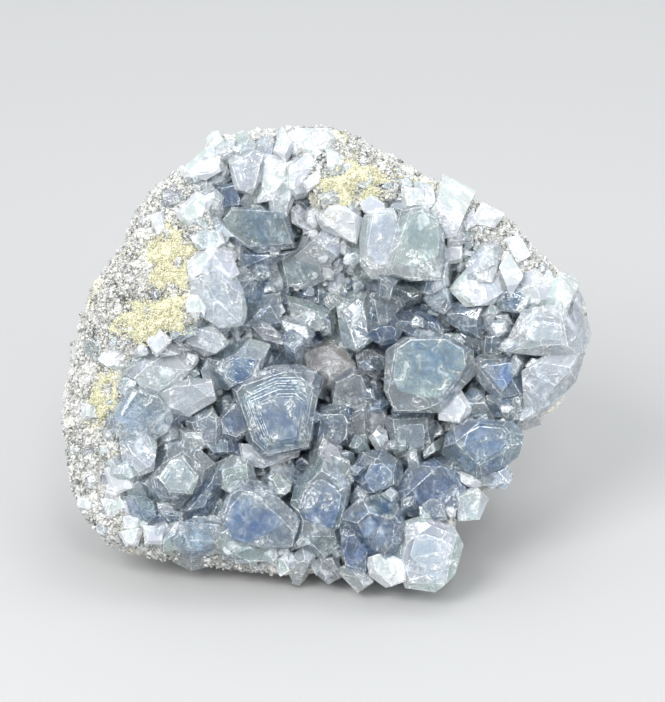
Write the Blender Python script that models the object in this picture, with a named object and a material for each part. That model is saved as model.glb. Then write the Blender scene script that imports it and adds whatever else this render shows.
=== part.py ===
"""Celestite cluster: a geode section whose broad hollow is lined with pale blue crystals.

The specimen is drawn upright: X is right, Z is up, and its crystal face looks along -Y. "Out" is the
distance in front of the rim of that face, so out = -Y. Sizes here are in millimetres and become
metres where a mesh is made. The finished specimen leans back on its broken underside, and the
middle of its footprint is the origin.
"""

import math
from dataclasses import dataclass

import bmesh
import bpy
from mathutils import Matrix, Vector, noise
from mathutils.bvhtree import BVHTree

MM = 0.001

# Stance: how far the crystal face leans back, and how far the underside lies below the face's centre
FACE_LEAN = math.radians(28.0)
BASE_DROP = 56.0
FACE_REACH = 60.0

# Rock: a dome of geode shell behind the face, rounded at its front rim
OUTLINE_CENTRE = (-2.0, -1.0)
RIM_ROUNDING = 14.0
RIM_FULLNESS = 3.2
BACK_DEPTH = 40.0
BACK_SAG = 20.0
BACK_FULLNESS = 2.6
ROCK_SUBDIVISIONS = 5
ROCK_SHARE_KEPT = 0.75
LUMPS = ((15.0, 2.0), (6.5, 0.8))
OUTLINE_ANGLES_AND_RADII = (
    (0, 65.5), (12, 67.5), (24, 62), (36, 59), (48, 54.5), (60, 53.5), (75, 55), (90, 59.5), (102, 60),
    (114, 62.5), (126, 61), (140, 59), (156, 59), (170, 62), (186, 64), (198, 69), (208, 72.5),
    (218, 70.5), (228, 64.5), (240, 58), (252, 54), (264, 53), (276, 53.5), (288, 57.5), (296, 59),
    (304, 55.5), (312, 51), (324, 51), (340, 51), (350, 60),
)

# Broken faces of the back: azimuth from the right, tilt up from the sight line behind, distance out
BREAKS = ((200, 35, 61.0), (150, 60, 57.0), (320, 40, 52.0), (75, 30, 53.5), (20, 62, 55.5), (250, 55, 72.0))

# Hollow: its outline runs past the rock where the crystals reach the edge, and it narrows as it deepens
HOLLOW_CENTRE = (4.0, -7.5)
HOLLOW_HALF_WIDTH = 50.0
HOLLOW_OUTLINE = (
    (66, 8), (64, -8), (51, -20), (50, -33), (40, -45), (33, -57), (17, -60), (0, -57), (-9.5, -53.5),
    (-19.5, -50), (-31.5, -46), (-44, -43), (-49.5, -37.5), (-52, -29.5), (-51, -22), (-50.5, -12.5),
    (-51, -2.5), (-46.5, 3.5), (-38.5, 6.5), (-31.5, 10), (-29.5, 17), (-30, 24.5), (-28, 33), (-31, 39),
    (-34.5, 44), (-37, 49), (-30, 55), (-19, 58), (-9.5, 57), (-7, 49), (-4.5, 38), (4, 35), (13.5, 39),
    (25, 40.5), (31, 35), (37.5, 26), (47, 20.5), (56.5, 17), (65, 14),
)
HOLLOW_STEPS = ((1.0, 14.0), (1.0, -4.0), (0.97, -8.5), (0.88, -15.0), (0.72, -22.0), (0.45, -27.0), (0.12, -29.0))

# Crystal bed: the druse floor is a dish, shallow at its edge
FLOOR_EDGE = -5.0
FLOOR_CENTRE = -22.0
BED_STEPS = (1.04, 0.88, 0.68, 0.42, 0.12)
BED_UNEVENNESS = 1.4
BED_BOTTOM_STEPS = ((0.3, -31.5), (0.7, -27.5), (0.95, -17.0), (1.04, -9.5))
ROOT_DEPTH = 3.5
ROOT_SPREAD = 0.94
INTERGROWTH = 0.35
GAP = 0.3
WELD = 0.03


@dataclass(frozen=True)
class Crystal:
    """A crystal seen end on: its outline, and how its end face stands.

    The end face is the outline shrunk by `end` towards a point `aim` off its middle, and stands `out`
    there. `rise` is what the end face gains outwards over each millimetre to the right and up.
    """

    name: str
    out: float
    end: float
    aim: tuple[float, float]
    rise: tuple[float, float]
    outline: tuple[tuple[float, float], ...]


END_SLOPE = 0.9

MIDDLE_CRYSTALS = (
    Crystal("great_block", -3, 0.84, (0, -7), (0.05, -0.05),
            ((-24, -6.5), (-14.5, -2), (-7, -1.5), (-2.5, -4.5), (-5, -21.5), (-16.5, -23.5), (-20, -19.5))),
    Crystal("great_block_foot", -8, 0.8, (0, -1), (0, 0.1),
            ((-22, -21), (-7.5, -21.5), (-8, -24), (-16.5, -26.5), (-21, -25.5))),
    Crystal("round_blue", -7, 0.7, (0, -1), (0.1, 0.1),
            ((-4.5, -17), (-1.5, -12), (3.5, -11.5), (5, -15), (4, -20.5), (-1, -23), (-4, -21))),
    Crystal("left_column", -10, 0.6, (0, 2), (-0.1, 0.3),
            ((5, -12.5), (9, -10.5), (11, -15.5), (9.5, -21.5), (5.5, -22.5))),
    Crystal("right_column", -11, 0.6, (0, 2), (0.2, 0.3),
            ((9, -10), (13.5, -10), (14.5, -16.5), (12.5, -22.5), (9.5, -21))),
    Crystal("green_column", -8, 0.55, (0, -3), (0, -0.15),
            ((2, 14), (5.5, 16.5), (10, 16.5), (12.5, 6.5), (7, 2.5), (3.5, 4.5))),
    Crystal("grey_column", -10, 0.6, (0, -1), (0.1, 0),
            ((10.5, 16.5), (17, 17.5), (18.5, 13.5), (15.5, 9), (12, 8))),
    Crystal("violet_spear", -7, 0.35, (3, -5), (0.1, -0.1),
            ((15.5, 9.5), (19, 15), (23.5, 15), (29.5, 5.5), (21, 5.5))),
    Crystal("violet_grey_floor_block", -12, 0.75, (0, -3), (0, 0.1),
            ((-12.5, 24), (-7, 28.5), (-1.5, 26), (-0.5, 20.5), (-6, 18), (-11, 19))),
    Crystal("deep_blue_floor_point", -14, 0.45, (0, 0), (0, 0.1),
            ((-0.5, 25), (2, 27.5), (5.5, 25.5), (5.5, 21.5), (1.5, 20), (-0.5, 22))),
    Crystal("long_wedge", -9, 0.4, (5, 2), (-0.25, 0.25),
            ((-28, 7.5), (-20.5, 15), (-12.5, 16.5), (-12, 7.5), (-20.5, 8), (-25.5, 4))),
    Crystal("grey_round_block", -11, 0.7, (0, 0), (0.2, -0.1),
            ((-12, 10.5), (-7, 10.5), (-4, 6.5), (-7, 2), (-10.5, 2))),
    Crystal("grey_floor_block", -13, 0.6, (0, 0), (0, -0.2),
            ((-12.5, 16.5), (-6, 14.5), (1, 12), (1.5, 8.5), (-4, 7.5), (-12, 11.5))),
    Crystal("wedge_triangle", -10, 0.6, (0, 1), (0.2, 0.2),
            ((-20.5, 8.5), (-16.5, 10), (-12, 6), (-11, 2), (-16.5, 4.5))),
    Crystal("pale_left_block", -6, 0.6, (1, -3), (-0.05, -0.1),
            ((-30, -1), (-26, 3), (-20.5, 5), (-14.5, 3.5), (-16.5, -3), (-21, -4.5), (-25, -7), (-28.5, -6))),
    Crystal("beige_floor_block", -16, 0.7, (0, 0), (0.1, -0.1),
            ((-6.5, 1), (-3, 5), (0.5, 5.5), (6, -0.5), (6.5, -5), (3, -8), (-2.5, -7), (-6.5, -3))),
    Crystal("grey_floor_chip", -12, 0.6, (0, 0), (0.2, 0.1),
            ((7, 1.5), (11.5, 3.5), (15, 2), (14.5, -2.5), (11, -5.5), (8, -3.5))),
    Crystal("clear_middle_block", -9, 0.65, (0, -2), (0, 0.1),
            ((14, -14.5), (18, -13.5), (25.5, -13), (26, -18.5), (25, -22.5), (20, -24), (16, -20.5))),
    Crystal("clear_middle_chip", -8, 0.5, (0, 0), (0, 0.1),
            ((10.5, -19.5), (12.5, -17), (14, -18), (14.5, -21), (12.5, -23))),
)

RIGHT_CRYSTALS = (
    Crystal("broad_block", -1, 0.86, (1, 6), (0.02, 0.08),
            ((14.5, 2), (18.5, 5), (29, 5.5), (35, 2), (35.5, -3.5), (31, -8), (27, -12.5), (16.5, -12.5), (14, -7))),
    Crystal("broad_block_chip", -4, 0.6, (0, 1), (0.1, 0.1),
            ((27, -9), (32.5, -8), (35, -12), (33, -15.5), (27.5, -14.5))),
    Crystal("right_lower_block", -1, 0.62, (1, 4), (0.05, 0.1),
            ((29.5, -18.5), (34.5, -15), (45, -15.5), (47.5, -18.5), (46.5, -23.5), (42, -27), (37, -29),
             (32.5, -27), (28.5, -23.5))),
    Crystal("right_pale_block", 1, 0.5, (-3, 0), (-0.05, 0.05),
            ((44.5, 5.5), (48, 12), (54.5, 13), (63.5, 11), (64.5, 6.5), (62.5, 2), (53, 1.5), (45, 2))),
    Crystal("right_lobe_block", -2, 0.5, (-1, 1), (0.1, 0.15),
            ((48, -3), (53, 0.5), (63, 1.5), (60.5, -5.5), (55.5, -10.5), (52, -13.5), (48.5, -11.5))),
    Crystal("right_blue_chip", -2, 0.6, (0, 0), (0, -0.1),
            ((42, 14), (44, 17.5), (48, 17.5), (50, 14.5), (47, 12), (42.5, 12.5))),
    Crystal("right_blue_wedge", -6, 0.5, (0, -1), (0.2, 0.1),
            ((38.5, 5.5), (45, 10.5), (45.5, 3), (42, 0.5), (38.5, 2))),
    Crystal("frosted_block", -2, 0.6, (0, 0), (-0.1, -0.2),
            ((30, 17.5), (34.5, 22.5), (42, 21), (44, 17), (40, 14), (34, 13.5))),
    Crystal("frosted_block_foot", -4, 0.55, (0, -1), (0.1, 0.2),
            ((27, 13), (33.5, 14), (39.5, 13.5), (37.5, 5.5), (33.5, 7), (28.5, 10.5))),
    Crystal("frosted_chip", -5, 0.5, (0, 0), (-0.2, 0),
            ((24.5, 16.5), (27, 19.5), (30.5, 17), (27.5, 13.5), (25, 14))),
    Crystal("ribbed_block", -4, 0.7, (1, 1), (-0.15, 0.1),
            ((34, -1), (38.5, 1), (47, 0.5), (49, -9), (43.5, -10.5), (39, -7))),
    Crystal("right_lower_chip", -5, 0.6, (-1, 1), (0.2, 0.2),
            ((31, -34.5), (36, -31.5), (39, -34.5), (37, -39), (32.5, -39.5))),
    Crystal("right_lower_foot", -5, 0.6, (-1, 1), (0.1, 0.3),
            ((37, -29.5), (44, -26), (45, -29), (43.5, -31.5), (39, -31.5))),
)

UPPER_CRYSTALS = (
    Crystal("pale_tablet_left", 0, 0.82, (2, 4), (0.1, 0.1),
            ((9, 36), (15.5, 37), (17.5, 32.5), (17, 27), (14, 20.5), (10.5, 20.5), (8, 24), (8, 30.5))),
    Crystal("pale_tablet_right", 1, 0.84, (1, 5), (-0.05, 0.12),
            ((17.5, 36), (23, 37.5), (27.5, 34), (28, 27), (27, 20), (20.5, 20), (14, 21.5), (17, 27.5))),
    Crystal("dark_block", -5, 0.85, (2, 4), (0, 0.25),
            ((-26, 34), (-23.5, 37.5), (-10.5, 36), (-9, 28), (-17.5, 27), (-22.5, 29.5))),
    Crystal("dark_block_side", -8, 0.7, (0, 0), (0.3, 0),
            ((-26, 34), (-21.5, 29.5), (-22, 25), (-25.5, 27))),
    Crystal("dark_block_wedge", -9, 0.7, (1, 2), (0.1, 0.3),
            ((-25.5, 26.5), (-9, 27), (-15, 23.5), (-22, 22.5))),
    Crystal("small_blue_cube", -4, 0.75, (0, 0), (0, 0.2),
            ((-27.5, 42.5), (-23.5, 43.5), (-22, 38.5), (-27, 38))),
    Crystal("upper_grey_block", -2, 0.7, (0, -1), (0, -0.1),
            ((-24.5, 49.5), (-19.5, 52), (-16, 50), (-17, 45), (-19, 41.5), (-23, 42.5))),
    Crystal("upper_corner_block", -4, 0.6, (1, -1), (0.25, -0.3),
            ((-35.5, 47.5), (-30.5, 52), (-26, 53), (-25.5, 47.5), (-30.5, 45), (-34.5, 45.5))),
    Crystal("pale_green_chip", -4, 0.7, (0, 0), (0.2, 0.1),
            ((-13.5, 43), (-9.5, 44), (-8.5, 41), (-10.5, 36), (-14, 37), (-14.5, 39.5))),
    Crystal("upper_white_block", -3, 0.6, (1, -1), (0.1, 0.1),
            ((-16.5, 51), (-11, 49.5), (-11, 44.5), (-14, 40), (-18.5, 39), (-18, 45))),
    Crystal("upper_right_chip", -3, 0.6, (0, 0), (-0.1, -0.1),
            ((29.5, 33.5), (33.5, 34), (35, 29.5), (29.5, 28))),
    Crystal("upper_right_cube", -4, 0.7, (0, 0), (0.1, 0.1),
            ((28, 28), (32.5, 28), (32.5, 24.5), (29, 24))),
    Crystal("upper_middle_chip", -7, 0.6, (0, 0), (0.1, 0.3),
            ((-7, 36.5), (-2, 37), (-1.5, 33), (-6, 31.5))),
)

LOWER_CRYSTALS = (
    Crystal("middle_dome", 0, 0.74, (0, -6), (-0.02, 0.02),
            ((-2, -24.5), (2.5, -27.5), (5, -30.5), (4, -36), (2, -42), (-2.5, -40), (-7, -39), (-9, -35),
             (-7.5, -30))),
    Crystal("middle_dome_foot", -2, 0.7, (0, 3), (0, 0.3),
            ((-7.5, -39), (2.5, -42.5), (3.5, -48), (0, -50), (-4.5, -47), (-7.5, -44))),
    Crystal("lower_blue_block", 3, 0.55, (2, -1), (0.05, 0.05),
            ((12.5, -33), (15.5, -34), (18, -39), (17, -45.5), (13.5, -49.5), (9, -48), (3.5, -42), (4, -38),
             (7.5, -34.5))),
    Crystal("lower_blue_side", 1, 0.6, (0, 0), (-0.2, 0.1),
            ((3, -42), (7.5, -42), (10.5, -48), (9, -52), (4.5, -50.5))),
    Crystal("lower_frosted_foot", 1, 0.6, (0, 1), (0, 0.3),
            ((9.5, -49), (13.5, -47.5), (18, -49.5), (18.5, -54), (14, -55.5), (10.5, -53))),
    Crystal("lower_pale_block", 2, 0.7, (0, -2), (0.1, 0.1),
            ((19, -40), (22.5, -39), (30.5, -41.5), (32.5, -45.5), (30.5, -52.5), (26, -56.5), (19, -55.5),
             (17, -49))),
    Crystal("dark_blue_block", -5, 0.72, (3, -3), (0, 0.05),
            ((16.5, -32.5), (20, -27), (26, -25), (32.5, -29), (34, -33), (31, -37), (26, -39), (20.5, -38.5),
             (17.5, -36.5))),
    Crystal("ribbed_wedge", -7, 0.6, (0, 0), (-0.2, 0.1),
            ((26, -25), (30, -23.5), (36, -28.5), (34.5, -32.5), (30.5, -30.5))),
    Crystal("forked_block", -4, 0.6, (1, 0), (0.1, -0.1),
            ((5.5, -28.5), (8, -23.5), (13, -22.5), (17.5, -25.5), (18, -29), (14.5, -33.5), (9.5, -36), (7, -32.5))),
    Crystal("lower_left_prism", 1, 0.84, (-4, -5), (-0.05, 0.1),
            ((-25, -34.5), (-21, -29.5), (-16.5, -30.5), (-7.5, -39), (-9.5, -45.5), (-15, -46), (-23, -44),
             (-26, -39))),
    Crystal("green_foot_block", -1, 0.7, (0, 2), (-0.1, 0.3),
            ((-28, -42.5), (-23, -39.5), (-14, -44.5), (-15, -49), (-22.5, -50), (-27.5, -47))),
    Crystal("bottom_spike", -2, 0.4, (0, 2), (0, 0.2),
            ((2, -52), (5, -50.5), (9.5, -51.5), (10.5, -54.5), (7, -57))),
    Crystal("bottom_grey_block", -4, 0.6, (0, 1), (0, 0.3),
            ((-2.5, -49.5), (2, -49), (3, -53.5), (0, -55), (-2.5, -53))),
    Crystal("bottom_tooth", -4, 0.5, (0, 1), (0, 0.2),
            ((-13, -49.5), (-10.5, -48.5), (-10, -52), (-12, -53))),
)

LEFT_CRYSTALS = (
    Crystal("stepped_block", -3, 0.62, (1, 0), (-0.1, -0.05),
            ((-48.5, -28), (-43.5, -23.5), (-35, -20), (-28.5, -26), (-30.5, -33.5), (-36, -37.5), (-43.5, -37),
             (-47.5, -33.5))),
    Crystal("stepped_block_plateau", 0, 0.9, (0, 0), (-0.1, -0.05),
            ((-41.5, -29), (-38.5, -25), (-36, -24), (-32.5, -28.5), (-34, -32.5), (-39, -32.5))),
    Crystal("blue_blade", -4, 0.6, (-1, 1), (0.25, 0),
            ((-35, -36), (-30.5, -30), (-26.5, -26), (-26, -30), (-29, -35), (-31, -40), (-35.5, -40))),
    Crystal("lower_left_blue_chip", -5, 0.6, (0, 1), (-0.1, 0.3),
            ((-46, -39.5), (-41.5, -37.5), (-36, -38), (-36, -41.5), (-40.5, -43), (-45, -41.5))),
    Crystal("left_green_block", -6, 0.6, (0, 0), (0.1, -0.1),
            ((-28, -26), (-24, -24), (-19.5, -25), (-18.5, -29.5), (-23, -33.5), (-27, -31))),
    Crystal("left_smoky_block", -3, 0.6, (0, -1), (-0.1, 0),
            ((-50, -3), (-45.5, 2), (-37, 2.5), (-32.5, -0.5), (-37.5, -5.5), (-44, -10.5), (-48, -8))),
    Crystal("left_frosted_block", -4, 0.6, (1, 0), (-0.1, 0.15),
            ((-45.5, -9.5), (-37, -5), (-29.5, -5), (-28.5, -10), (-35, -13.5), (-42.5, -12))),
    Crystal("left_dark_chip", -8, 0.6, (0, 0), (0.2, 0.2),
            ((-37.5, 5.5), (-33.5, 4.5), (-31, 1), (-36, 0))),
    Crystal("left_grey_wedge", -6, 0.55, (0, 1), (0.1, 0.2),
            ((-35.5, -15.5), (-30.5, -12.5), (-26, -15.5), (-28, -22), (-32.5, -21))),
    Crystal("left_small_block", -6, 0.7, (0, 0), (0.1, 0),
            ((-26.5, -14), (-24, -11), (-20.5, -13), (-19.5, -17.5), (-23, -19.5), (-26, -18.5))),
    Crystal("left_slate_chip", -6, 0.6, (0, 0), (0, 0.3),
            ((-43, -13), (-38, -10.5), (-34.5, -14), (-40, -16.5))),
    Crystal("left_deep_chip", -9, 0.6, (0, 0), (0, 0.2),
            ((-29, -19.5), (-26, -16), (-22.5, -20.5), (-22.5, -24), (-26.5, -24))),
)

RIM_CRYSTALS = (
    Crystal("rim_slab", -3, 0.6, (0, 0), (0, 0), ((35, 34), (38, 38.5), (43, 36), (40.5, 33))),
    Crystal("rim_chip_right", -3, 0.6, (0, 0), (0, 0), ((43.5, 29.5), (47, 30.5), (49.5, 26), (46, 24))),
    Crystal("rim_block_right", -3, 0.6, (0, 0), (0, 0),
            ((50.5, 17), (54.5, 19.5), (59, 15.5), (55.5, 13), (51.5, 13.5))),
    Crystal("rim_block_upper", 1, 0.6, (0, 0), (0, 0), ((18, 42.5), (22.5, 41.5), (23.5, 38), (18.5, 37.5))),
    Crystal("rim_block_left", 0, 0.6, (0, 0), (0, 0),
            ((-37.5, 36.5), (-32.5, 41), (-29, 39), (-31.5, 34), (-35.5, 33))),
    Crystal("rim_tooth_left", -2, 0.6, (0, 0), (0, 0), ((-44, 35), (-41, 36.5), (-40, 32), (-42, 30.5))),
    Crystal("rim_blade_left", 1, 0.5, (0, 0), (0, 0),
            ((-34.5, 24), (-30, 28.5), (-26.5, 27), (-30, 22.5), (-34, 20))),
    Crystal("rim_chip_left", 1, 0.6, (0, 0), (0, 0),
            ((-35, 14.5), (-31.5, 17), (-28.5, 14.5), (-30.5, 12), (-34.5, 12))),
    Crystal("rim_tooth_lower", -1, 0.5, (0, 0), (0, 0),
            ((-51.5, -42.5), (-46, -41.5), (-47.5, -45.5), (-50, -45))),
    Crystal("rim_chip_lower", -1, 0.5, (0, 0), (0, 0), ((-45.5, -41), (-41, -41.5), (-41.5, -45), (-45, -45))),
    Crystal("rim_block_lower", 0, 0.6, (0, 0), (0, 0), ((-55, -27), (-50, -26), (-48.5, -31), (-53, -33))),
    Crystal("rim_chip_low", -2, 0.6, (0, 0), (0, 0), ((-56, -34.5), (-52, -33.5), (-50, -36.5), (-54, -38.5))),
    Crystal("rim_crown_lump", -3, 0.6, (0, 0), (0, -0.2),
            ((-10.5, 55.5), (-7, 57), (0, 57), (1.5, 55.5), (0, 51.5), (-7, 50))),
)
RIM_ROOT = 9.0

# Marl: pads of yellow clay left on the rock, by middle on the face and half sizes across and up
MARL_THICKNESS = 1.4
MARL_LUMPS = (4.0, 0.35)
MARL_PATCHES = (
    ("marl_upper_left", (-41, 25.5), (5.5, 5)),
    ("marl_left", (-44.5, 11.5), (7, 4)),
    ("marl_top", (5, 44), (7.5, 4)),
    ("marl_lower_left", (-55.5, -9), (3, 5)),
)


def clear_scene():
    """Remove whatever objects the file opened with."""
    for thing in list(bpy.data.objects):
        bpy.data.objects.remove(thing, do_unlink=True)


def make_collection(name):
    """Add a collection to the scene."""
    collection = bpy.data.collections.new(name)
    bpy.context.scene.collection.children.link(collection)
    return collection


def make_material(name, colour, roughness):
    """Make a plain stone or crystal finish."""
    material = bpy.data.materials.new(name)
    material.use_nodes = True
    shader = material.node_tree.nodes["Principled BSDF"]
    shader.inputs["Base Color"].default_value = (*colour, 1.0)
    shader.inputs["Roughness"].default_value = roughness
    shader.inputs["Metallic"].default_value = 0.0
    return material


def make_object(name, bm, collection):
    """Turn a bmesh in millimetres into an object in metres."""
    mesh = bpy.data.meshes.new(name)
    bm.to_mesh(mesh)
    bm.free()
    mesh.transform(Matrix.Scale(MM, 4))
    made = bpy.data.objects.new(name, mesh)
    collection.objects.link(made)
    return made


def mark_as_cutter(thing):
    """Show an object that only shapes others as wire, and keep it out of renders."""
    thing.hide_render = True
    thing.display_type = "WIRE"
    return thing


def make_cutter(name, bm, collection):
    """Make an object that only shapes others."""
    return mark_as_cutter(make_object(name, bm, collection))


def at(x, up, out):
    """Place a point by its distance to the right, up and out of the face."""
    return Vector((x, -out, up))


def apply_boolean(target, operation, operand):
    """Cut or join a mesh with another object, or with each object of a collection."""
    modifier = target.modifiers.new(operation.title(), "BOOLEAN")
    modifier.operation = operation
    modifier.solver = "EXACT"
    if isinstance(operand, bpy.types.Collection):
        modifier.operand_type = "COLLECTION"
        modifier.collection = operand
    else:
        modifier.object = operand
    apply_modifiers(target)
    weld(target)


def weld(target):
    """Close the hairline edges that cuts leave."""
    bm = bmesh.new()
    bm.from_mesh(target.data)
    bmesh.ops.remove_doubles(bm, verts=bm.verts, dist=WELD * MM)
    bmesh.ops.dissolve_degenerate(bm, dist=WELD * MM, edges=bm.edges)
    bm.to_mesh(target.data)
    bm.free()


def apply_modifiers(target):
    """Replace a mesh by what its modifiers make of it."""
    evaluated = target.evaluated_get(bpy.context.evaluated_depsgraph_get())
    result = bpy.data.meshes.new_from_object(evaluated)
    target.modifiers.clear()
    target.data = result


def smooth_radius(angle):
    """Read the rock's outline at an angle in degrees, by a closed Catmull-Rom curve in angle and radius."""
    points = OUTLINE_ANGLES_AND_RADII
    count = len(points)
    angle %= 360.0
    first = max(index for index in range(count) if points[index][0] <= angle)
    start, end = points[first][0], points[(first + 1) % count][0] or 360.0
    before, here, after, beyond = (points[(first + step) % count][1] for step in (-1, 0, 1, 2))
    t = (angle - start) / (end - start)
    return 0.5 * (2 * here + (after - before) * t + (2 * before - 5 * here + 4 * after - beyond) * t ** 2
                  + (3 * here - before - 3 * after + beyond) * t ** 3)


def superellipse(share, fullness):
    """Give the height of a superellipse at a share of its half width."""
    return (1.0 - min(share, 1.0) ** fullness) ** (1.0 / fullness)


def rock_point(direction):
    """Place the point of the uneven dome that lies along a direction from its middle."""
    x, up, out = direction.x, direction.z, -direction.y
    share = math.hypot(x, up)
    angle = math.atan2(up, x)
    radius = smooth_radius(math.degrees(angle)) * share
    if out > 0:
        depth = RIM_ROUNDING * (superellipse(share, RIM_FULLNESS) - 1.0)
    else:
        reach = BACK_DEPTH - BACK_SAG * up
        depth = -RIM_ROUNDING - reach * superellipse(share, BACK_FULLNESS)
    middle = OUTLINE_CENTRE
    point = at(middle[0] + radius * math.cos(angle), middle[1] + radius * math.sin(angle), depth)
    lump = sum(height * noise.noise(point / size) for size, height in LUMPS)
    point += direction * lump
    for azimuth, tilt, distance in BREAKS:
        point = push_behind_break(point, azimuth, tilt, distance)
    return point


def push_behind_break(point, azimuth, tilt, distance):
    """Flatten what stands past a broken face of the back, leaving a fifth of its height."""
    azimuth, tilt = math.radians(azimuth), math.radians(tilt)
    side, behind = math.cos(tilt), math.sin(tilt)
    normal = at(side * math.cos(azimuth), side * math.sin(azimuth), -behind)
    past = point.dot(normal) - distance
    return point - normal * past * 0.8 if past > 0 else point


def rock_dome():
    """Shape a sphere into the geode shell, front face and all."""
    bm = bmesh.new()
    bmesh.ops.create_icosphere(bm, subdivisions=ROCK_SUBDIVISIONS, radius=1.0)
    for vertex in bm.verts:
        vertex.co = rock_point(vertex.co.normalized())
    return bm


def loft(rings):
    """Grow a solid from an outline by extruding its face to each ring in turn."""
    bm = bmesh.new()
    corners = [bm.verts.new(point) for point in rings[0]]
    first = face = bm.faces.new(corners)
    for ring in rings[1:]:
        grown = bmesh.ops.extrude_face_region(bm, geom=[face])["geom"]
        if face is not first:
            bmesh.ops.delete(bm, geom=[face], context="FACES_ONLY")
        face = next(item for item in grown if isinstance(item, bmesh.types.BMFace))
        corners = [next(edge.other_vert(corner) for edge in corner.link_edges if edge.other_vert(corner) in face.verts)
                   for corner in corners]
        for corner, point in zip(corners, ring):
            corner.co = point
    bmesh.ops.recalc_face_normals(bm, faces=bm.faces)
    return bm


def triangulated(bm):
    """Split a solid's bent faces into flat triangles, which the Booleans cut cleanly."""
    bmesh.ops.triangulate(bm, faces=bm.faces)
    return bm


def hollow_ring(scale, out, sway=0.0, inset=0.0):
    """Place the hollow's outline, scaled about its centre, at a depth; sway makes it uneven."""
    centre = HOLLOW_CENTRE
    scale -= inset / HOLLOW_HALF_WIDTH
    ring = []
    for x, up in HOLLOW_OUTLINE:
        point = at(centre[0] + scale * (x - centre[0]), centre[1] + scale * (up - centre[1]), out)
        point.y -= sway * noise.noise(point / LUMPS[1][0])
        ring.append(point)
    return ring


def hollow_share(x, up):
    """Say how far a point lies towards the hollow's outline: 0 at its centre, 1 on the outline."""
    centre = Vector(HOLLOW_CENTRE)
    sight = Vector((x, up)) - centre
    if sight.length < 1e-6:
        return 0.0
    corners = [Vector(corner) - centre for corner in HOLLOW_OUTLINE]
    best = 1.0
    for start, end in zip(corners, corners[1:] + corners[:1]):
        edge = end - start
        turn = sight.x * edge.y - sight.y * edge.x
        if abs(turn) < 1e-9:
            continue
        along_sight = (start.x * edge.y - start.y * edge.x) / turn
        along_edge = (start.x * sight.y - start.y * sight.x) / turn
        if along_sight > 0 and -1e-9 <= along_edge <= 1 + 1e-9:
            best = 1.0 / along_sight
    return best


def floor_out(share):
    """Give the level of the druse floor, a dish that is deepest at the hollow's centre."""
    return FLOOR_EDGE + (FLOOR_CENTRE - FLOOR_EDGE) * (1.0 - min(share, 1.0) ** 2)


def crystal_rings(crystal, root, swell=0.0):
    """List a crystal's rings from its root to its end face: root, shoulder and end."""
    corners = [Vector(corner) for corner in crystal.outline]
    middle = sum(corners, Vector((0.0, 0.0))) / len(corners)
    corners = [corner + (corner - middle).normalized() * (INTERGROWTH + swell) for corner in corners]
    target = middle + Vector(crystal.aim)
    half_width = sum((corner - middle).length for corner in corners) / len(corners)
    crown = END_SLOPE * half_width * (1.0 - crystal.end)

    def out_at(spot):
        return crystal.out + swell + Vector(crystal.rise).dot(spot - middle)

    root = min(root, crystal.out - crown - ROOT_DEPTH)
    ends = [target + (corner - target) * crystal.end for corner in corners]
    root_middle = Vector(HOLLOW_CENTRE) + (middle - Vector(HOLLOW_CENTRE)) * ROOT_SPREAD
    roots = [root_middle + (corner - middle) for corner in corners]
    return (
        [at(spot.x, spot.y, root + Vector(crystal.rise).dot(spot - root_middle)) for spot in roots],
        [at(spot.x, spot.y, out_at(spot) - crown) for spot in corners],
        [at(spot.x, spot.y, out_at(spot)) for spot in ends],
    )


def crystal_solid(crystal, root, swell=0.0):
    """Make one crystal as a block with sloping faces round its end."""
    return loft(crystal_rings(crystal, root, swell))


def keep_largest_body(target):
    """Drop loose crumbs that the cuts leave beside the main body."""
    bm = bmesh.new()
    bm.from_mesh(target.data)
    unseen = set(bm.verts)
    bodies = []
    while unseen:
        body, front = set(), [unseen.pop()]
        while front:
            vertex = front.pop()
            body.add(vertex)
            for edge in vertex.link_edges:
                other = edge.other_vert(vertex)
                if other in unseen:
                    unseen.remove(other)
                    front.append(other)
        bodies.append(body)
    largest = max(bodies, key=len)
    crumbs = [vertex for vertex in bm.verts if vertex not in largest]
    bmesh.ops.delete(bm, geom=crumbs, context="VERTS")
    bm.to_mesh(target.data)
    bm.free()
    return len(bodies) - 1


def swell_out(target, by):
    """Move a solid's surface outwards."""
    modifier = target.modifiers.new("Swell", "DISPLACE")
    modifier.direction = "NORMAL"
    modifier.mid_level = 0.0
    modifier.strength = by * MM
    apply_modifiers(target)


def lean_back(vector):
    """Turn an upright direction or point to how the specimen stands."""
    return Matrix.Rotation(-FACE_LEAN, 3, "X") @ vector


def make_ground_cutter(collection, above=0.0):
    """Make the slab that takes everything below the underside, or a bit above it, off the upright specimen."""
    size = 300.0
    bm = bmesh.new()
    bmesh.ops.create_cube(bm, size=size)
    drop = Vector((0.0, 0.0, above - BASE_DROP - size / 2))
    bmesh.ops.translate(bm, verts=bm.verts, vec=drop)
    bmesh.ops.rotate(bm, verts=bm.verts, cent=(0, 0, 0), matrix=Matrix.Rotation(FACE_LEAN, 3, "X"))
    return make_cutter("ground", bm, collection)


def thin_out(target, share):
    """Keep a share of a surface's triangles, where they matter most."""
    modifier = target.modifiers.new("Thin", "DECIMATE")
    modifier.ratio = share
    apply_modifiers(target)


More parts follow.
